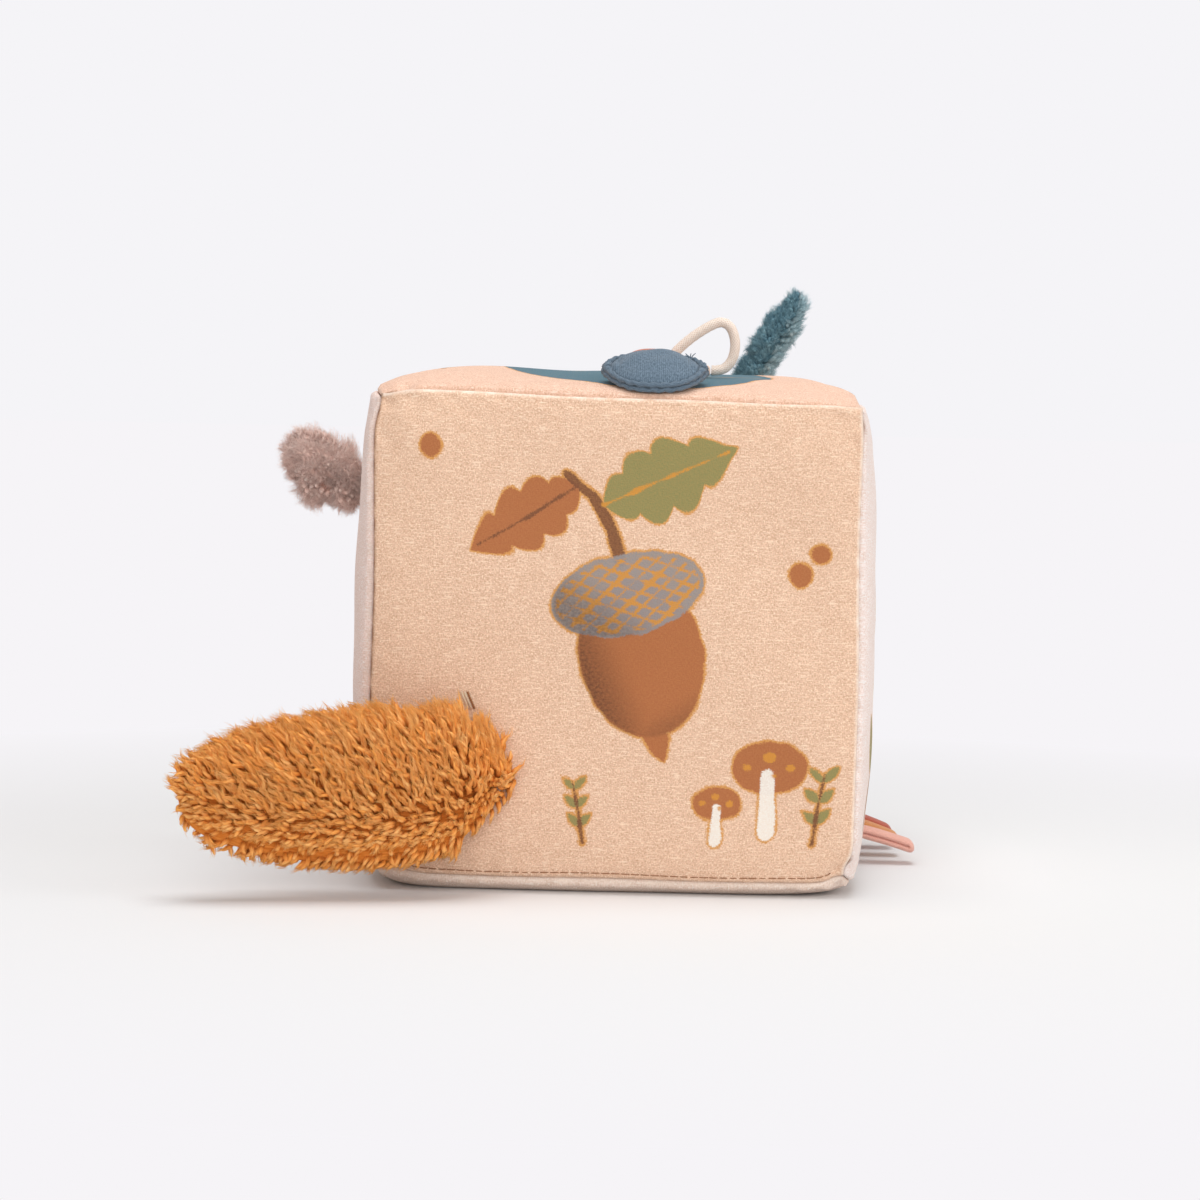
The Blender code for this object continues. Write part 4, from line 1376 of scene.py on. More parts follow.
@dataclass(frozen=True)
class FibreFilling:
    """Loose polyester fibre, which takes the shape of the cover round it."""

    frame: Frame
    cover: CubeCover
    finish: Material
    inward: float = 2.0 * MM
    rough: float = 0.35 * MM
    dent_length: float = 3.5 * MM

    def build(self) -> None:
        """Makes a rough fibre mass for the cube's two blocks of wadding, settled as the cover is."""
        middle = self.cover.faces()["front_panel"].middle
        for node in ("wadding_lower", "wadding_upper"):
            mesh = self.smaller(node)
            places = self.cover.settled(coordinates(mesh), middle)
            dents = self.rough * np.abs(ripple(places, self.dent_length, 77))
            set_coordinates(mesh, places + unit(places.mean(axis=0) - places) * dents[:, None])
            lay_cloth(mesh, places[:, [0, 2]] / MM)
            self.dress(mesh, node, "cube")

    def smaller(self, node: str) -> Mesh:
        """A finer copy of a soft node, with its loose triangles merged and its surface drawn inwards.

        Args:
            node: The node.

        Returns:
            The copy.
        """
        shape = bmesh.new()
        shape.from_mesh(self.frame["nodes"][node].data)
        bmesh.ops.remove_doubles(shape, verts=shape.verts, dist=WELD_GAP)
        bmesh.ops.subdivide_edges(shape, edges=shape.edges, cuts=1, use_grid_fill=True)
        axes = {"use_axis_x": True, "use_axis_y": True, "use_axis_z": True}
        bmesh.ops.smooth_vert(shape, verts=shape.verts, factor=0.5, **axes)
        shape.normal_update()
        for corner in shape.verts:
            corner.co -= corner.normal * self.inward
        mesh = bpy.data.meshes.new(f"{node}_fibre")
        shape.to_mesh(mesh)
        shape.free()
        return mesh

    def dress(self, mesh: Mesh, node: str, body: str) -> None:
        """Puts one filling in place of its node."""
        dressed(f"{node}_fibre", mesh, self.finish, body, node)


@dataclass(frozen=True)
class Section:
    """A stuffed tail's outline read from the frame: stations, middles and half sizes along it."""

    stations: Points
    middle_y: Points
    middle_b: Points
    half_y: Points
    half_b: Points
    axis: int
    breadth_axis: int
    core_share: float = 1.0
    root_peak: float = 0.0
    root_slope: float = 0.0
    root_out: float = 0.0
    cut_share: float = 0.22
    tip_round: float = 0.1
    root_round: float = 0.02
    least_half: float = 0.5 * MM

    @classmethod
    def read(cls, frame: Frame, colour: str, axis: int, breadth_axis: int, **shape: float) -> Section:
        """Groups the points of a tail's halves into rings across its length.

        Args:
            frame: The loaded frame.
            colour: The tail's colour.
            axis: The axis that the tail runs along.
            breadth_axis: The axis that its breadth runs along.
            shape: How short the core is under the pile, and how its root end is cut.

        Returns:
            The outline, from the root to the tip.
        """
        halves = [frame["nodes"][f"{colour}_tail_{half}_pile"] for half in ("front", "back")]
        places = np.concatenate([coordinates(half.data) for half in halves])
        keys = np.round(places[:, axis] / (0.1 * MM)).astype(int)
        rings = []
        for key in np.unique(keys):
            ring = places[keys == key]
            if len(ring) < 100:
                continue
            low, high = ring.min(axis=0), ring.max(axis=0)
            middle, half = (low + high) / 2, (high - low) / 2
            rings.append((ring[:, axis].mean(), middle[1], middle[breadth_axis], half[1], half[breadth_axis]))
        table = np.array(rings)
        # The root is the end that is nearer the cube.
        if axis == 0:
            table = table[::-1]
        return cls(*table.T, axis, breadth_axis, **shape)

    def place(self, gone: Points, turn: Points, inset: Points | float) -> Points:
        """The outline's surface, inset below its pile.

        Args:
            gone: Shares of the way from the root to the tip.
            turn: Angles round the body, 0 at the front and a quarter turn at the breadth's high side.
            inset: How far below the outline the surface lies, one for all or one for each place.

        Returns:
            The places.
        """
        travelled = np.abs(self.stations - self.stations[0])
        at = gone * travelled[-1] * self.core_share
        rows = (self.stations, self.middle_y, self.middle_b, self.half_y, self.half_b)
        read = [np.interp(at, travelled, row) for row in rows]
        # Both ends close in a round, so that the pile stands out all over them.
        tip = np.clip(1 - np.clip((gone - (1 - self.tip_round)) / self.tip_round, 0, 1) ** 3, 0, 1) ** 0.5
        shrink = tip * np.sqrt(np.clip(gone / self.root_round, 0, 1))
        places = np.zeros((len(gone), 3))
        places[:, self.axis] = read[0]
        depth, breadth = (np.maximum(half - inset, self.least_half) * shrink for half in read[3:])
        places[:, 1] = read[1] - depth * np.cos(turn)
        places[:, self.breadth_axis] += read[2] + breadth * np.sin(turn)
        # The root end is cut to a point at one height, and slants away above and below it.
        off_peak = self.root_slope * np.abs(places[:, self.breadth_axis] - self.root_peak)
        places[:, self.axis] += (self.root_out - off_peak) * (1 - eased(gone / self.cut_share))
        return places

    def normal(self, gone: Points, turn: Points, inset: Points | float) -> Points:
        """Which way the surface faces.

        Args:
            gone: Shares from the root to the tip.
            turn: Angles round the body.
            inset: How far below the outline the surface lies.

        Returns:
            The directions.
        """
        step = 0.004
        after, before = np.clip(gone + step, 0, 1), np.clip(gone - step, 0, 1)
        along = self.place(after, turn, inset) - self.place(before, turn, inset)
        round_it = self.place(gone, turn + step, inset) - self.place(gone, turn - step, inset)
        facing = unit(np.cross(along, round_it))
        outward = self.place(gone, turn, inset) - self.place(gone, turn + pi, inset)
        wrong = np.sum(facing * outward, axis=1) < 0
        facing[wrong] *= -1
        return facing


@dataclass(frozen=True)
class Strand:
    """One kind of strand in a lock: its count, thickness and how it is drawn in to the lock's tip."""

    count: int
    sides: int
    levels: int
    radius: float
    spread: float
    gather: float
    blunt: float
    reach: Pair
    ridge: float = 0.0

    def template(self) -> tuple[Points, Points, Points]:
        """One tapered strand, cut into levels.

        Returns:
            The share along, the angle round and the triangles' corners.
        """
        shape = bmesh.new()
        bmesh.ops.create_cone(shape, cap_ends=True, segments=self.sides, radius1=1.0, radius2=0.0, depth=1.0)
        for level in range(1, self.levels):
            height = Vector((0, 0, -0.5 + level / self.levels))
            parts = [*shape.verts, *shape.edges, *shape.faces]
            bmesh.ops.bisect_plane(shape, geom=parts, plane_co=height, plane_no=(0, 0, 1))
        bmesh.ops.remove_doubles(shape, verts=shape.verts, dist=1e-5)
        bmesh.ops.triangulate(shape, faces=shape.faces)
        shape.verts.index_update()
        along = np.array([corner.co.z + 0.5 for corner in shape.verts])
        angle = np.array([np.arctan2(corner.co.y, corner.co.x) for corner in shape.verts])
        corners = np.array([[corner.index for corner in face.verts] for face in shape.faces])
        shape.free()
        return along, angle, corners


@dataclass(frozen=True)
class Coat:
    """How a tail's pile grows: how many locks, how long, which way they are combed and how they curl."""

    locks: int
    length: float
    strands: tuple[Strand, ...]
    rise: float
    lean: float
    wave: float
    wave_length: float
    unruly: float
    combed: Triple
    combed_tip: Triple
    combed_low: Triple
    low_length: float = 1.0
    clumps: float = 0.0


@dataclass
class StuffedTail:
    """A stuffed tail in its two pile halves, sewn together along a seam."""

    colour: str
    section: Section
    coats: tuple[Coat, Coat]
    finishes: tuple[Plush, Plush]
    seed: int
    inset: float
    seam_turn: float = 0.0
    seam_depth: float = 0.0
    seam_width: float = 0.17
    trim_width: float = 0.13
    groove_share: float = -1.0
    groove_depth: float = 0.0
    groove_width: float = 0.013
    groove_thinned: float = 0.014
    belly: float = 0.0
    far_turn: float = 0.0
    lumps: float = 0.0
    # Lumps are laid over a body of this length and half width, with this pitch, all in millimetres.
    lump_body: Triple = (30.0, 10.0, 9.0)
    seam_trim: float = 0.0
    # The steps of the plastic number spread points evenly over a square.
    plastic_steps: Pair = (0.7548776662, 0.5698402910)

    def span(self, front: bool) -> Pair:
        """The angles round the tail that one half covers."""
        low, high = -pi / 2 + self.seam_turn, pi / 2 - self.far_turn
        return (low, high) if front else (high, 2 * pi + low)

    def depth(self, gone: Points, turn: Points) -> Points:
        """How far the backing lies below the outline.

        It is deeper at the visible seam and the groove by the root, less along the belly, and lumpy.

        Args:
            gone: Shares from the root to the tip.
            turn: Angles round the body.

        Returns:
            The depths.
        """
        seam = self.seam_depth * self.by_seam(turn, self.seam_width)
        groove = self.groove_depth * hump(gone - self.groove_share, self.groove_width)
        length, half, pitch = self.lump_body
        body = np.stack([gone * length, half * np.cos(turn), half * np.sin(turn)], axis=1)
        lump = self.lumps * ripple(body, pitch, self.seed)
        return self.inset + seam + groove + lump - self.belly * eased((-np.sin(turn) - 0.55) / 0.4)

    def backing(self, gone: Points, turn: Points, below: float = 0.0) -> Points:
        """Where the backing lies, or what lies below it."""
        return self.section.place(gone, turn, self.depth(gone, turn) + below)

    def by_seam(self, turn: Points, reach: float) -> Points:
        """Is 1 on the seam that shows, and next to nothing past twice the reach from it.

        Args:
            turn: Angles round the body.
            reach: The angle that the band reaches over.

        Returns:
            The shares.
        """
        seam_at = self.span(True)[1 if self.far_turn else 0]
        off_seam = np.abs((turn - seam_at + pi) % (2 * pi) - pi)
        return hump(off_seam, reach)

    def skin(self, front: bool) -> Mesh:
        """The backing under one half's pile, closed along the seam.

        Args:
            front: Whether it is the front half.

        Returns:
            The backing's mesh.
        """
        start, end = self.span(front)
        open_share = 0.75

        def place(a: Points, b: Points) -> Points:
            """Where the backing lies at a share round it and a share along it.

            Args:
                a: Shares round it.
                b: Shares along it.

            Returns:
                The places.
            """
            over = self.backing(b, np.clip(start + (end - start) * a / open_share, start, end))
            first, last = (self.backing(b, np.full_like(b, side)) for side in (end, start))
            back = np.clip((a - open_share) / (1 - open_share), 0, 1)[:, None]
            return np.where((a < open_share)[:, None], over, first + (last - first) * back)

        # The backing is coloured as the pile's roots, in their painted shade.
        return mapped_grid("skin", 40, 60, place, (40.0, 90.0), weld=True,
                           values=lambda a, _: {"along": np.full_like(a, 0.1), "tone": np.zeros_like(a)})

    def roots(self, front: bool, coat: Coat) -> tuple[Points, Points]:
        """Evenly spread root places for the locks, as shares along and angles round.

        Args:
            front: Whether it is the front half.
            coat: Its pile.

        Returns:
            The shares and the angles.
        """
        start, end = self.span(front)
        table = np.linspace(0.002, 0.998, 240)
        middle = np.full_like(table, (start + end) / 2)
        turns = start + (end - start) * np.arange(13) / 12
        ring = [self.section.place(table, np.full_like(table, turn), self.inset) for turn in turns]
        girth = sum(np.linalg.norm(b - a, axis=1) for a, b in zip(ring, ring[1:]))
        travel = np.linalg.norm(np.gradient(self.section.place(table, middle, self.inset), axis=0), axis=1)
        area = np.concatenate([[0], np.cumsum((girth * travel)[1:])])
        count = np.arange(coat.locks)
        rng = np.random.default_rng(self.seed + (0 if front else 1))
        first = (0.5 + count * self.plastic_steps[0] + rng.normal(0, 0.004, coat.locks)) % 1
        second = (0.5 + count * self.plastic_steps[1] + rng.normal(0, 0.012, coat.locks)) % 1
        return np.interp(first * area[-1], area, table), start + (end - start) * second

    def locks(self, front: bool, coat: Coat) -> Mesh:
        """All the strands of one half's pile, gathered in locks.

        Args:
            front: Whether it is the front half.
            coat: Its pile.

        Returns:
            The locks' mesh.
        """
        rng = np.random.default_rng(self.seed + (2 if front else 3))
        gone, turn = self.roots(front, coat)
        depth = self.depth(gone, turn)
        root = self.section.place(gone, turn, depth + 0.3 * MM)
        facing = self.section.normal(gone, turn, depth)
        low = eased((-np.sin(turn) - 0.25) / 0.65)[:, None]
        comb = np.array(coat.combed) + (np.array(coat.combed_tip) - coat.combed) * gone[:, None]
        comb = comb * (1 - low) + np.array(coat.combed_low) * low + rng.normal(0, coat.unruly, comb.shape)
        comb = unit(comb - facing * np.sum(comb * facing, axis=1)[:, None])
        groove = hump(gone - self.groove_share, self.groove_thinned) * (self.groove_depth > 0)
        length = coat.length * rng.uniform(0.8, 1.2, len(gone)) * (1 - 0.6 * groove)
        length *= 1 + (coat.low_length - 1) * low[:, 0]
        length *= 1 - 0.3 * eased((gone - 0.84) / 0.14)
        length *= 1 - self.seam_trim * self.by_seam(turn, self.trim_width)
        length *= 1 + coat.clumps * ripple(root, 7 * MM, self.seed)
        aside = np.cross(facing, comb)
        tone = np.clip(rng.beta(1.3, 2.4, len(gone)) - 0.5 * groove, 0, 1)
        curl_start = rng.uniform(0, 2 * pi, len(gone))
        parts: list[tuple[Points, ...]] = []
        for strand in coat.strands:
            many = strand.count
            radius = strand.spread * np.sqrt(rng.uniform(0, 1, (len(gone), many)))
            angle = rng.uniform(0, 2 * pi, (len(gone), many))
            offset = radius[..., None] * (comb[:, None] * np.cos(angle)[..., None]
                                          + aside[:, None] * np.sin(angle)[..., None])
            own = rng.uniform(*strand.reach, (len(gone), many)) * length[:, None]
            share, around, corners = strand.template()
            steps = np.round(share * strand.levels).astype(int)
            t = np.linspace(0, 1, strand.levels + 1)
            phase = curl_start[:, None, None] + rng.normal(0, 0.5 if many > 1 else 0, (len(gone), many, 1))
            curl = 2 * pi * own[..., None] * t / coat.wave_length + phase
            swing = coat.wave * t ** 0.7
            up = own[..., None] * coat.rise * np.sin(t * pi / 2) ** 0.9 + 0.6 * swing * np.cos(curl)
            forward = own[..., None] * coat.lean * t ** 1.25
            line = (
                root[:, None, None]
                + offset[:, :, None] * (1 - strand.gather * t ** 0.8)[:, None]
                + facing[:, None, None] * up[..., None]
                + comb[:, None, None] * forward[..., None]
                + aside[:, None, None] * (swing * np.sin(curl))[..., None]
            )
            tangent = unit(np.gradient(line, axis=2))
            sideways = unit(np.cross(tangent, facing[:, None, None] + 0.01))
            upward = np.cross(sideways, tangent)
            swell = (0.82 + 0.18 * np.sin(pi * t)) * np.clip(1 - t ** strand.blunt, 0, 1) ** 0.7
            odd = np.round((around + pi) * strand.sides / (2 * pi)).astype(int) % 2
            thick = strand.radius * swell[steps] * (1 - strand.ridge * odd)
            twisted = around + 0.5 * share
            places = (line[:, :, steps] + sideways[:, :, steps] * (np.sin(twisted) * thick)[:, None]
                      + upward[:, :, steps] * (np.cos(twisted) * thick)[:, None])
            count, size = len(gone) * many, len(share)
            start = rng.uniform(0, 40, (count, 1))
            across, down = around * strand.radius / MM, share * own.reshape(-1, 1) / MM
            cloth = np.stack([start + across, start + down], axis=2)
            tones = np.repeat(tone, many)[:, None] + rng.normal(0, 0.1, (count, 1))
            faces = corners[None] + np.arange(count)[:, None, None] * size
            parts.append((places.reshape(-1, 3), faces.reshape(-1, 3), cloth.reshape(-1, 2),
                          np.tile(share, count), np.clip(np.repeat(tones, size), 0, 1)))
        return triangle_mesh("locks", parts)

    def core(self) -> Mesh:
        """The filling, just inside the backing of both halves."""
        return mapped_grid("core", 32, 40, lambda a, b: self.backing(0.02 + 0.95 * b, a * 2 * pi, 1.0 * MM),
                           (60.0, 90.0), weld=True)

    def build(self, fibre: FibreFilling) -> None:
        """Makes the filling and both pile halves, front first.

        Args:
            fibre: What the tail is filled with.
        """
        body = f"{self.colour}_tail"
        fibre.dress(self.core(), f"{body}_filling", body)
        for half, coat, finish in zip(("front", "back"), self.coats, self.finishes):
            node, front = f"{body}_{half}_pile", half == "front"
            mesh = joined(f"{node}_coat", [self.skin(front), self.locks(front, coat)])
            dressed(f"{node}_coat", mesh, finish.build(), body, node)


def triangle_mesh(name: str, parts: list[tuple[Points, ...]]) -> Mesh:
    """Puts groups of triangles into one mesh with the cloth's map and the pile's values.

    Args:
        name: The mesh's name.
        parts: For each group, its places, triangles, map, share along and tone.

    Returns:
        The mesh.
    """
    starts = np.cumsum([0] + [len(part[0]) for part in parts])
    places, cloth, along, tone = (np.concatenate([part[row] for part in parts]) for row in (0, 2, 3, 4))
    faces = np.concatenate([part[1] + start for part, start in zip(parts, starts)])
    mesh = bpy.data.meshes.new(name)
    mesh.vertices.add(len(places))
    mesh.loops.add(faces.size)
    mesh.polygons.add(len(faces))
    mesh.vertices.foreach_set("co", places.astype(np.float32).ravel())
    mesh.loops.foreach_set("vertex_index", faces.astype(np.int32).ravel())
    mesh.polygons.foreach_set("loop_start", np.arange(len(faces), dtype=np.int32) * 3)
    mesh.update(calc_edges=True)
    lay_cloth(mesh, cloth)
    set_values(mesh, "along", along)
    set_values(mesh, "tone", tone)
    return mesh


def make_tails(frame: Frame, fibre: FibreFilling) -> None:
    """Makes the three stuffed tails.

    Args:
        frame: The loaded frame.
        fibre: What the tails are filled with.
    """
    # Long caramel pile in soft pointed locks, combed towards the tip and up, and short by the low seam.
    lock = Strand(1, 7, 4, 0.8 * MM, 0.0, 0.0, ridge=0.3, blunt=2.2, reach=(0.78, 0.92))
    wisp = Strand(10, 3, 3, 0.115 * MM, 1.05 * MM, 0.4, blunt=2.0, reach=(0.75, 1.25))
    caramel = Coat(1450, 7.0 * MM, (lock, wisp), rise=0.52, lean=0.78, wave=0.5 * MM, wave_length=5.5 * MM,
                   unruly=0.28, combed=(-0.5, 0.0, 0.86), combed_tip=(-0.8, 0.0, 0.6),
                   combed_low=(-0.95, 0.0, 0.1), low_length=0.6, clumps=0.12)
    behind = replace(caramel, locks=1000, combed_low=(-0.45, 0.0, -0.86), low_length=0.7)
    plush = Plush("caramel_long_pile_plush", "#C46B23", "#F49D49", "#FFB862", "#FFD08C")
    outline = Section.read(frame, "brown", 0, 2, core_share=0.98, root_peak=0.034, root_slope=0.62,
                           root_out=2.5 * MM)
    StuffedTail("brown", outline, (caramel, behind), (plush, plush), 401, inset=2.7 * MM,
                seam_turn=radians(27), seam_depth=2.6 * MM, groove_share=0.066, groove_depth=2.6 * MM,
                belly=4.4 * MM, lumps=0.25 * MM, seam_trim=0.5).build(fibre)
    # Mauve-grey woolly pile: a soft lumpy cloud of fine curls.
    curl = Strand(1, 7, 4, 1.0 * MM, 0.0, 0.0, ridge=0.1, blunt=3.0, reach=(0.4, 0.52))
    fluff = Strand(32, 3, 4, 0.05 * MM, 1.5 * MM, -0.12, blunt=1.8, reach=(0.55, 1.3))
    cloud = Coat(360, 4.2 * MM, (curl, fluff), rise=0.8, lean=0.36, wave=0.6 * MM, wave_length=3.4 * MM,
                 unruly=0.9, combed=(-0.7, 0.0, 0.2), combed_tip=(-0.7, 0.0, 0.2),
                 combed_low=(-0.4, 0.0, -0.6), clumps=0.3)
    wool = Plush("mauve_woolly_plush", "#B98B7B", "#F9D3C6", "#FFE6DC", "#FFF3EC")
    outline = Section.read(frame, "grey", 0, 2, core_share=0.95)
    StuffedTail("grey", outline, (cloud, cloud), (wool, wool), 503, inset=2.7 * MM, seam_turn=radians(66),
                seam_depth=1.5 * MM, lumps=1.5 * MM).build(fibre)
    # Teal-blue short dense pile, paler on the half that is behind.
    tuft = Strand(1, 7, 4, 0.8 * MM, 0.0, 0.0, ridge=0.15, blunt=2.6, reach=(0.6, 0.78))
    hair = Strand(22, 3, 3, 0.06 * MM, 1.05 * MM, 0.15, blunt=2.0, reach=(0.65, 1.25))
    short = Coat(360, 3.9 * MM, (tuft, hair), rise=0.66, lean=0.58, wave=0.25 * MM, wave_length=3.0 * MM,
                 unruly=0.45, combed=(-0.1, 0.0, 0.8), combed_tip=(0.3, 0.0, 0.8),
                 combed_low=(-0.5, 0.0, 0.6), clumps=0.12)
    paler = replace(short, locks=440, length=4.4 * MM, combed=(0.5, 0.0, 0.6), combed_tip=(0.5, 0.0, 0.6))
    teal = Plush("teal_short_pile_plush", "#25434F", "#4B7081", "#6C93A2", "#9BBFC9")
    pale = Plush("pale_teal_short_pile_plush", "#587983", "#87A6B0", "#A8C3CB", "#C3D7DC")
    outline = Section.read(frame, "blue", 2, 0, core_share=0.98)
    StuffedTail("blue", outline, (short, paler), (teal, pale), 601, inset=1.6 * MM, seam_depth=1.3 * MM,
                far_turn=radians(62), lumps=0.5 * MM).build(fibre)


@dataclass
class PaddedFlap:
    """The padded jersey flap: a dome that rises by its hinge, gathered ends and a rolled double seam."""

    frame: Frame
    crown: float = 4.9 * MM
    belly: float = 1.4 * MM
    peak_share: float = 0.36
    end_curl: float = 0.4 * MM
    back_drop: float = 1.7 * MM
    lip_lift: float = 0.9 * MM
    seam_radius: float = 0.7 * MM
    seam_apart: float = 0.74 * MM
    knob: float = 0.85
    boat_power: float = 2.7
    boat_round: float = 0.7
    lip_room: float = 1.6 * MM
    wadding_inset: float = 1.3 * MM
    gathered: float = 0.8 * MM
    gather_height: float = 0.24 * MM
    gather_pitch: float = 0.95 * MM
    gather_reach: float = 4.0 * MM
    dart_at: float = 10.3 * MM
    dart_depth: float = 0.6 * MM
    dart_width: float = 0.55 * MM
    dart_bend: float = 0.028 / MM
    crease_height: float = 0.14 * MM
    crease_length: float = 6.0 * MM

    def axes(self) -> tuple[Points, Points, Points, float, float]:
        """The hinge, the way forward and the way up, then the half width and the length.

        Returns:
            The three vectors and the two sizes.
        """
        hinge = joint_place(self.frame, "blue_flap_lift")
        rim = coordinates(self.frame["nodes"]["blue_flap_rolled_rim"].data)
        near = rim[np.abs(rim[:, 0] - hinge[0]) < 2 * MM]
        lip = near[near[:, 1] < near[:, 1].min() + 2 * MM].mean(axis=0)
        lip[0] = hinge[0]
        forward = unit(lip - hinge)
        upward = np.cross(np.array([-1.0, 0.0, 0.0]), forward)
        upward = upward if upward[2] > 0 else -upward
        low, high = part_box("blue_flap_upper_cover")
        half_width = (high.x - low.x) / 2 - self.gathered
        return hinge, forward, upward, half_width, float(np.linalg.norm(lip - hinge))

    def outline(self, turn: Points, grow: float) -> tuple[Points, Points]:
        """The boat-shaped outline, as steps right and forward from the hinge.

        Args:
            turn: Angles round it.
            grow: How far outside the seam line it runs.

        Returns:
            The steps right and the steps forward.
        """
        _, _, _, half_width, length = self.axes()
        across = np.cos(turn)
        boat = np.sign(np.sin(turn)) * np.clip(1 - np.abs(across) ** self.boat_power, 0, 1) ** self.boat_round
        return (half_width + grow) * across, length / 2 + (length / 2 - self.lip_room + grow) * boat

    def lift(self, right: Points, forward: Points, height: Points) -> Points:
        """Places over the flap's own plane: its ends and lip curl up, and its hinge edge is tucked down.

        Args:
            right: Steps right.
            forward: Steps forward.
            height: Heights over the plane.

        Returns:
            The places.
        """
        hinge, onward, upward, half_width, length = self.axes()
        curl = self.end_curl * (right / half_width) ** 2
        curl += self.lip_lift * np.clip(forward / length, 0, 1) ** 2
        tuck = self.back_drop * np.clip(1 - forward / (0.4 * length), 0, 1) ** 2
        sideways = np.array([1.0, 0.0, 0.0])
        return (hinge + outer(right, sideways) + outer(forward, onward)
                + outer(height + curl - tuck, upward))

    def shell(self, turn: Points, share: Points, side: Points, inset: float) -> Points:
        """The padded shape, from its edge at share 0 to the top of its dome at share 1.

        Args:
            turn: Angles round the outline.
            share: Shares of the way from the edge to the middle.
            side: 1 for the upper side and -1 for the lower.
            inset: How far inside the cover the shape lies.

        Returns:
            The places.
        """
        _, _, _, half_width, length = self.axes()
        edge_x, edge_f = self.outline(turn, 0.2 * MM - inset)
        peak = length * self.peak_share
        right, forward = edge_x * (1 - share), peak + (edge_f - peak) * (1 - share)
        dome = (np.where(side > 0, self.crown, self.belly) - inset) * np.sin(pi / 2 * share) ** 0.6
        # Gathers run in from the two pinched ends, and a curved dart crosses beside each of them.
        ends = hump(half_width - np.abs(right), self.gather_reach)
        aside = forward - length / 2
        gather = self.gather_height * ends * np.sin(aside / self.gather_pitch)
        bend = np.abs(right) - self.dart_at - self.dart_bend * aside ** 2
        dart = self.dart_depth * hump(bend, self.dart_width)
        crease = self.crease_height * ripple(np.stack([right, forward], axis=1), self.crease_length, 5)
        fill = np.clip(share * 4, 0, 1) * (inset == 0)
        return self.lift(right, forward, side * (SEAM_GAP / 2 + dome + (gather - dart + crease) * fill))

    def cover(self, node: str, side: int) -> Mesh:
        """One of the two covers, domed from its edge to its middle."""
        return mapped_grid(node, 120, 36, lambda a, b: self.shell(a * 2 * pi, b, np.full(len(b), side), 0.0),
                           (60.0, 12.0), weld=True)

    def filling(self) -> Mesh:
        """The wadding, from the top of its dome round its edge to its underside.

        Returns:
            Its mesh.
        """
        return mapped_grid("blue_flap_wadding", 60, 32, lambda a, b: self.shell(
            a * 2 * pi, np.abs(2 * b - 1), np.where(b < 0.5, 1, -1), self.wadding_inset,
        ), (60.0, 24.0), weld=True)

    def rolls(self) -> list[Mesh]:
        """The seam's two rolls, which swell into a knob at each end of the flap.

        Returns:
            Their meshes.
        """
        turn = np.linspace(0, 2 * pi, 160, endpoint=False)
        upward = self.axes()[2]
        made = []
        for grow, height, twist in ((0.8 * MM, self.seam_apart, 26.0), (1.1 * MM, -self.seam_apart, -22.0)):
            right, forward = self.outline(turn, grow)
            sway = 0.14 * MM * np.sin(turn * 29)
            path = self.lift(right, forward, np.full(len(turn), height) + sway)

            def radius(gone: Points, angle: Points, twist: float = twist) -> Points:
                """The roll's thickness, with the bumps of its loops.

                Args:
                    gone: Shares of the way round the flap.
                    angle: Angles round the roll.
                    twist: How the loops wind.

                Returns:
                    The radii.
                """
                round_it = gone * 2 * pi
                ends = 1 + self.knob * np.abs(np.cos(round_it)) ** 14
                bumps = 0.14 * np.cos(2 * angle + twist * round_it) + 0.06 * np.cos(90 * round_it + angle)
                return self.seam_radius * ends * (1 + bumps)

            made.append(tube("roll", path, radius, 12, facing=-np.sign(height) * upward))
        return made

    def tuft(self) -> list[Mesh]:
        """The cut ends of the seam's thread, which stand up beside the right end.

        Returns:
            Their meshes.
        """
        made = []
        for right, lean in ((9.6, -0.9), (10.1, 0.2), (10.5, 1.1)):
            steps = np.linspace(0, 1, 6)
            across = (right + lean * steps ** 1.5) * MM
            path = self.lift(across, np.full(6, 6.5 * MM), (2.0 + 1.3 * steps) * MM)
            made.append(tube("thread", path, lambda gone, _: 0.16 * MM * (1.1 - 0.4 * gone), 6))
        return made

    def build(self, fibre: FibreFilling) -> None:
        """Makes the wadding, the two covers and the rolled seam.

        Args:
            fibre: What the flap is filled with.
        """
        fibre.dress(self.filling(), "blue_flap_wadding", "blue_flap")
        knit = JerseyKnit("slate_blue_jersey", "#778A9B", "#3C4E5E").build()
        for node, side in (("blue_flap_upper_cover", 1), ("blue_flap_lower_cover", -1)):
            mesh = self.cover(node, side)
            hinge, onward, _, _, _ = self.axes()
            offset = coordinates(mesh) - hinge
            # The knit lies straight across the flap, with its ribs from the hinge to the lip.
            lay_cloth(mesh, np.stack([offset[:, 0], offset @ onward], axis=1) / MM)
            dressed(f"{node}_jersey", mesh, knit, "blue_flap", node)
        name = "blue_flap_rolled_seam"
        seam = joined(name, [*self.rolls(), *self.tuft()])
        dressed(name, seam, knit, "blue_flap", "blue_flap_rolled_rim")


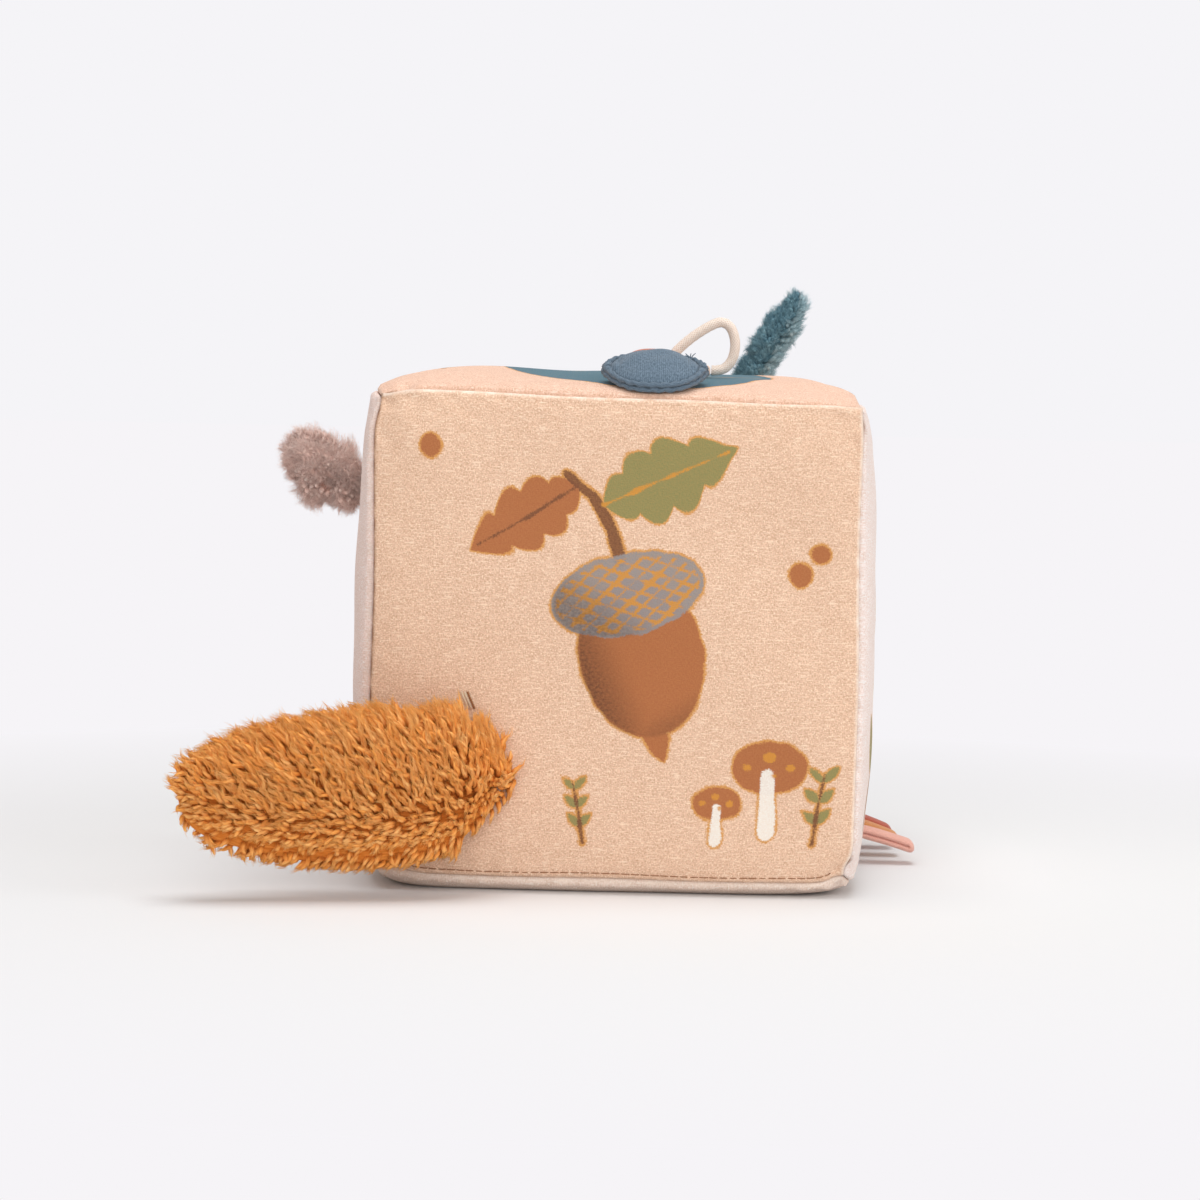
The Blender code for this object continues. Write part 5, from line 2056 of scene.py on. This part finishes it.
@dataclass
class CoralPad:
    """The stuffed coral jersey pad that the flap lies against."""

    sunk: float = 1.2 * MM
    narrowed: float = 2.6 * MM
    roundness: float = 0.85
    # Heights over the dome run from a quarter turn below its middle to a quarter turn above it.
    hollow_depth: float = 0.05
    hollow_at: float = -0.9
    hollow_width: float = 0.16
    wrinkles: int = 11
    wrinkle_depth: float = 0.018
    wrinkle_at: float = -0.6
    wrinkle_width: float = 0.5

    def build(self) -> None:
        """Makes the dome on the top face, with a sewn hollow round its foot and fine wrinkles over it."""
        low, high = (np.array(corner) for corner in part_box("coral_pad"))
        high -= [self.narrowed, 0.0, self.sunk]
        middle, half = (low + high) / 2, (high - low) / 2

        def place(a: Points, b: Points) -> Points:
            """Where the pad's skin lies, from its foot to its top.

            Args:
                a: Shares round it.
                b: Shares along it.

            Returns:
                The places.
            """
            turn, climb = a * 2 * pi, (b - 0.5) * pi
            out = np.cos(climb) ** self.roundness
            hollow = 1 - self.hollow_depth * hump(climb - self.hollow_at, self.hollow_width)
            puckered = hump(climb - self.wrinkle_at, self.wrinkle_width)
            wrinkle = 1 + self.wrinkle_depth * np.sin(self.wrinkles * turn) * puckered
            x = middle[0] + half[0] * out * np.cos(turn) * hollow * wrinkle
            y = middle[1] + half[1] * out * np.sin(turn) * hollow * wrinkle
            z = middle[2] + half[2] * np.sin(climb)
            return np.stack([x, y, z], axis=1)

        mesh = mapped_grid("coral_pad", 72, 36, place, (52.0, 22.0), weld=True)
        knit = JerseyKnit("coral_jersey", "#E58A6C", "#B4573C").build()
        dressed("coral_pad_jersey", mesh, knit, "cube", "coral_pad")


@dataclass
class CordLoop:
    """The cream cord loop and the folded tab that holds both of its ends."""

    diameter: float = 3.0 * MM
    start_inset: float = 4.3 * MM
    end_height: float = 2.0 * MM
    tab_corner: float = 0.35
    # The route's points as steps right, back and up from the middle of the tab's foot, in millimetres.
    route: tuple[Triple, ...] = (
        (-4.3, 0.0, 7.2), (0.2, 0.4, 11.4), (5.4, 0.8, 14.9), (9.2, 1.0, 16.2),
        (12.0, 1.0, 14.3), (13.2, 0.9, 10.0), (12.5, 0.7, 5.6), (10.4, 0.4, 2.8),
    )

    def build(self) -> None:
        """Makes the tab and the plaited cord."""
        low, high = (np.array(corner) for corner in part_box("loop_anchor"))
        middle, half = (low + high) / 2, (high - low) / 2

        def place(a: Points, b: Points) -> Points:
            """Where the tab's cloth lies, from its foot to its top.

            Args:
                a: Shares round it.
                b: Shares along it.

            Returns:
                The places.
            """
            turn, climb = a * 2 * pi, (b - 0.5) * pi
            out = np.abs(np.cos(climb)) ** 0.3
            x = middle[0] + half[0] * out * squared(np.cos(turn), self.tab_corner)
            y = middle[1] + half[1] * out * squared(np.sin(turn), self.tab_corner)
            return np.stack([x, y, middle[2] + half[2] * squared(np.sin(climb), 0.5)], axis=1)

        tab = mapped_grid("loop_anchor", 64, 32, place, (38.0, 8.0), weld=True)
        set_values(tab, "fold", np.full(len(tab.vertices), 0.3))
        cotton = SlubCotton("peach_cotton_tab", "#F2CBB2", contrast=0.1).build()
        piece = dressed("loop_anchor_tab", tab, cotton, "cube", "loop_anchor")
        foot = np.array([middle[0], middle[1], low[2]])
        start = np.array([middle[0] - self.start_inset, middle[1], high[2] + SEAM_GAP])
        end = np.array([high[0] + SEAM_GAP, middle[1], low[2] + self.end_height])
        straight = self.diameter / 2
        points = [start, start + [0, 0, straight]]
        points += [foot + np.array(step) * MM for step in self.route]
        points += [end + [straight, 0, 0], end]
        path = smooth_path(np.array(points), 110)

        def radius(gone: Points, angle: Points) -> Points:
            """The cord's radius, with the bumps of its plait."""
            plait = 0.03 * np.cos(3 * angle + 60 * gone) * np.cos(3 * angle - 60 * gone)
            return self.diameter / 2 * (1 + plait)

        cord = tube("cream_loop", path, radius, 24)
        finish = TwistedYarn("cream_plaited_cotton_cord", "#F8EDE3", "#C9A78C", 1.0, 1.2).build()
        loop = dressed("cream_loop_cord", cord, finish, "cube", "cream_loop")


@dataclass
class RibbonTab:
    """A soft ribbon folded double and sewn by its ends low on the right face."""

    node: str
    colour: str
    shadow: str
    frame: Frame
    layer: float = 2.25 * MM
    slit: float = -0.55 * MM
    droop: float = 4.9 * MM
    droop_power: float = 1.2
    pinch: float = 4.0 * MM
    root_share: float = 0.8
    squareness: float = 0.55
    width_share: float = 0.99

    def build(self) -> None:
        """Sweeps the ribbon's soft cross-section out, round its fold and back."""
        root = joint_place(self.frame, f"{self.node}_lift")
        low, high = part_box(self.node)
        length, half_width = high.x - root[0], (high.y - low.y) / 2
        offset = (self.slit + self.layer) / 2
        fold = length - offset - self.layer / 2
        start = low.x - root[0]
        run, bend = fold - start, pi * offset
        total = 2 * run + bend

        def place(a: Points, b: Points) -> Points:
            """Where the knit lies, at a share round its section and a share along its length.

            Args:
                a: Shares round it.
                b: Shares along it.

            Returns:
                The places.
            """
            gone = b * total
            out, back = gone < run, gone > run + bend
            swing = np.clip((gone - run) / bend, 0, 1) * pi
            rounded = np.where(back, fold - (gone - run - bend), fold + offset * np.sin(swing))
            x = np.where(out, start + gone, rounded)
            side = np.cos(swing)
            pinch = self.root_share + (1 - self.root_share) * eased((x - start) / self.pinch)
            facing = np.where(out | back, 0.0, np.sin(swing))
            turn = a * 2 * pi
            thick = self.layer / 2 * np.sin(turn) * pinch
            z = side * (offset * pinch + thick)
            x = x + thick * facing
            y = squared(np.cos(turn), self.squareness) * half_width * self.width_share
            sag = self.droop * np.clip(x / length, 0, 1) ** self.droop_power
            return root + np.stack([x, y, z - sag], axis=1)

        mesh = mapped_grid(self.node, 40, 90, place, (24.0, total / MM), weld=True)
        knit = JerseyKnit(f"{self.node}_knit", self.colour, self.shadow).build()
        dressed(f"{self.node}_tab", capped(mesh), knit, self.node, self.node)


@dataclass
class Stitching:
    """The threads that show: the brown tail's three tacks and the bottom seam's stitches."""

    cover: CubeCover
    stitch_length: float = 2.4 * MM
    stitch_gap: float = 0.45 * MM
    thread_radius: float = 0.14 * MM
    tack_radius: float = 0.33 * MM
    tack_step: float = 0.7 * MM
    tack_drop: float = 1.6 * MM
    seam_share: float = 0.94
    seam_height: float = 1.5 * MM

    def build(self) -> None:
        """Makes every thread."""
        brown = TwistedYarn("brown_polyester_thread", "#A8734C", "#6E4527", 0.5, 0.8).build()
        cream = TwistedYarn("cream_polyester_thread", "#F0DCC2", "#B98F66", 0.5, 0.8).build()
        face = self.cover.faces()["front_panel"]
        for count in range(1, 4):
            low, high = (np.array(corner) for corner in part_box(f"tail_tack_stitch_{count}"))
            # The three lie closer together than their frame pieces, and their upper ends lean left.
            gathered = np.array([(2 - count) * self.tack_step, 0, -self.tack_drop])
            inset, out = self.tack_radius, self.tack_radius - 0.1 * MM
            ends = gathered + np.array([
                [high[0] - inset, high[1] - inset, low[2]],
                [(low[0] + high[0]) / 2, low[1] + out, (low[2] + high[2]) / 2],
                [low[0] + inset, high[1] - inset, high[2]],
            ])
            mesh = tube("tack", smooth_path(ends, 24), lambda gone, angle: self.tack_radius * (
                1 + 0.15 * np.cos(2 * angle + 50 * gone)), 10)
            node, yarn = f"tail_tack_stitch_{count}", brown if count == 3 else cream
            dressed(f"{node}_thread", mesh, yarn, "cube", node)
        rows = []
        pitch = self.stitch_length + self.stitch_gap
        count = int(2 * face.half_across * self.seam_share / pitch)
        v = np.full(5, -1 + self.seam_height / face.half_along)
        for step in range(count):
            middle = (step - (count - 1) / 2) * pitch / face.half_across
            u = middle + np.linspace(-0.5, 0.5, 5) * self.stitch_length / face.half_across
            dip = np.array([-0.25, 0.05, 0.12, 0.05, -0.25]) * MM
            path = face.surface(u, v) + outer(dip + 0.28 * MM, face.outward)
            path = smooth_path(self.cover.settled(path, face.middle), 9)
            rows.append(tube("stitch", path, lambda gone, _: np.full(len(gone), self.thread_radius), 6))
        name = "bottom_seam_stitches"
        dressed(name, joined(name, rows), brown, "cube", "")


@dataclass
class Rattle:
    """The sealed rattle inside: its shell halves and beads keep the frame's own shapes."""

    frame: Frame

    def build(self) -> None:
        """Gives the rattle's pieces their moulded finishes."""
        shell = MouldedPlastic("moulded_polypropylene_shell", "#E6E8EB", 0.4).build()
        bead = MouldedPlastic("smooth_polypropylene_bead", "#DDDEE2", 0.25).build()
        for node, piece in self.frame["nodes"].items():
            if node.startswith("rattle"):
                for slot in piece.material_slots:
                    slot.material = shell if "capsule" in node else bead


@dataclass
class Studio:
    """The camera at the photograph's viewing angle, a pale sweep of floor and soft light from above."""

    camera_place: Triple = (16.0 * MM, -1170.0 * MM, 158.0 * MM)
    yaw: float = -1.050
    pitch: float = 3.783
    roll: float = 1.109
    lens: float = 115.02
    sensor: float = 36.0
    paper: str = "#E7E8EA"
    paper_far: str = "#F6F4F7"
    paper_fade: Pair = (0.16, 0.42)
    wall: str = "#F5F4F7"
    sky: str = "#FFF3EA"
    sky_strength: float = 0.43
    lamp_colour: Triple = (0.95, 0.985, 1.0)
    # Each lamp's name, place, size and power, in metres and watts.
    lamps: tuple[tuple[str, Triple, float, float], ...] = (
        ("high_softbox", (0.05, -0.12, 1.7), 1.0, 17.0),
        ("front_fill", (0.1, -2.2, 1.0), 1.8, 20.5),
        ("right_fill", (2.0, -0.8, 0.9), 1.4, 11.0),
    )

    def camera(self) -> None:
        """Sets the camera: the slight lean, then the look down, then the level turn."""
        data = bpy.data.cameras.new("camera")
        data.lens, data.sensor_width = self.lens, self.sensor
        camera = bpy.data.objects.new("camera", data)
        camera.matrix_world = Matrix.Translation(self.camera_place)
        for degrees, axis in ((-self.yaw, "Z"), (90 - self.pitch, "X"), (self.roll, "Z")):
            camera.matrix_world = camera.matrix_world @ Matrix.Rotation(radians(degrees), 4, axis)
        bpy.context.scene.collection.objects.link(camera)
        bpy.context.scene.camera = camera

    def lamp(self, name: str, place: Triple, size: float, power: float) -> None:
        """Adds a soft square lamp that looks at the cube.

        Args:
            name: Its name.
            place: Where it hangs, in metres.
            size: Its side, in metres.
            power: Its power, in watts.
        """
        data = bpy.data.lights.new(name, "AREA")
        data.size, data.energy = size, power
        data.color = self.lamp_colour
        lamp = bpy.data.objects.new(name, data)
        lamp.location = place
        aim = Vector((0, 0, 0.07)) - Vector(place)
        lamp.rotation_euler = aim.to_track_quat("-Z", "Y").to_euler()
        bpy.context.scene.collection.objects.link(lamp)

    def floor(self) -> None:
        """Makes the pale floor, which keeps the shadows and runs out into the wall's own white."""
        shape = bmesh.new()
        bmesh.ops.create_grid(shape, x_segments=1, y_segments=1, size=6.0)
        mesh = bpy.data.meshes.new("floor")
        shape.to_mesh(mesh)
        shape.free()
        g = Graph("matt_white_paper_floor")
        matt = {"Base Color": linear(self.paper), "Roughness": 1.0, "Specular IOR Level": 0.0}
        paper = g.add("BsdfPrincipled", matt)
        white = g.add("Emission", {"Color": linear(self.paper_far), "Strength": 1.0})
        place = g.add("TexCoord", output="Object")
        away = g.add("VectorMath.LENGTH", place)
        far = g.add("Math.MULTIPLY", g.add("MapRange", away, *self.paper_fade), g.seen())
        floor = object_from("floor", mesh, g.close(g.add("MixShader", far, paper, white)))

    def world(self) -> None:
        """Lights the scene evenly and shows a near-white wall to the camera."""
        world = bpy.data.worlds.new("studio")
        g = Graph(world)
        light = g.add("Background", {"Color": linear(self.sky), "Strength": self.sky_strength})
        wall = g.add("Background", {"Color": linear(self.wall), "Strength": 1.0})
        g.close(g.add("MixShader", g.seen(), light, wall))
        bpy.context.scene.world = world

    def build(self) -> None:
        """Sets up everything that isn't the object."""
        self.camera()
        self.floor()
        self.world()
        for lamp in self.lamps:
            self.lamp(*lamp)
        bpy.context.scene.view_settings.view_transform = "Standard"


def main() -> None:
    """Builds the cube piece by piece."""
    logging.basicConfig(level=logging.INFO, format="%(message)s")
    for old in list(bpy.data.objects):
        bpy.data.objects.remove(old, do_unlink=True)
    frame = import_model()
    Studio().build()
    CordLoop().build()
    cover = CubeCover()
    cover.build()
    wool = TwistedYarn("white_polyester_fibre", "#F4F2EC", "#D9D5CC", 1.6, 0.3).build()
    fibre = FibreFilling(frame, cover, wool)
    fibre.build()
    make_tails(frame, fibre)
    PaddedFlap(frame).build(fibre)
    CoralPad().build()
    RibbonTab("pink_ribbon", "#F6BEAF", "#D49A89", frame).build()
    RibbonTab("ochre_ribbon", "#E39A5C", "#B8743C", frame).build()
    RibbonTab("red_ribbon", "#C7634A", "#963F2B", frame).build()
    Stitching(cover).build()
    Rattle(frame).build()


if __name__ == "__main__":
    main()
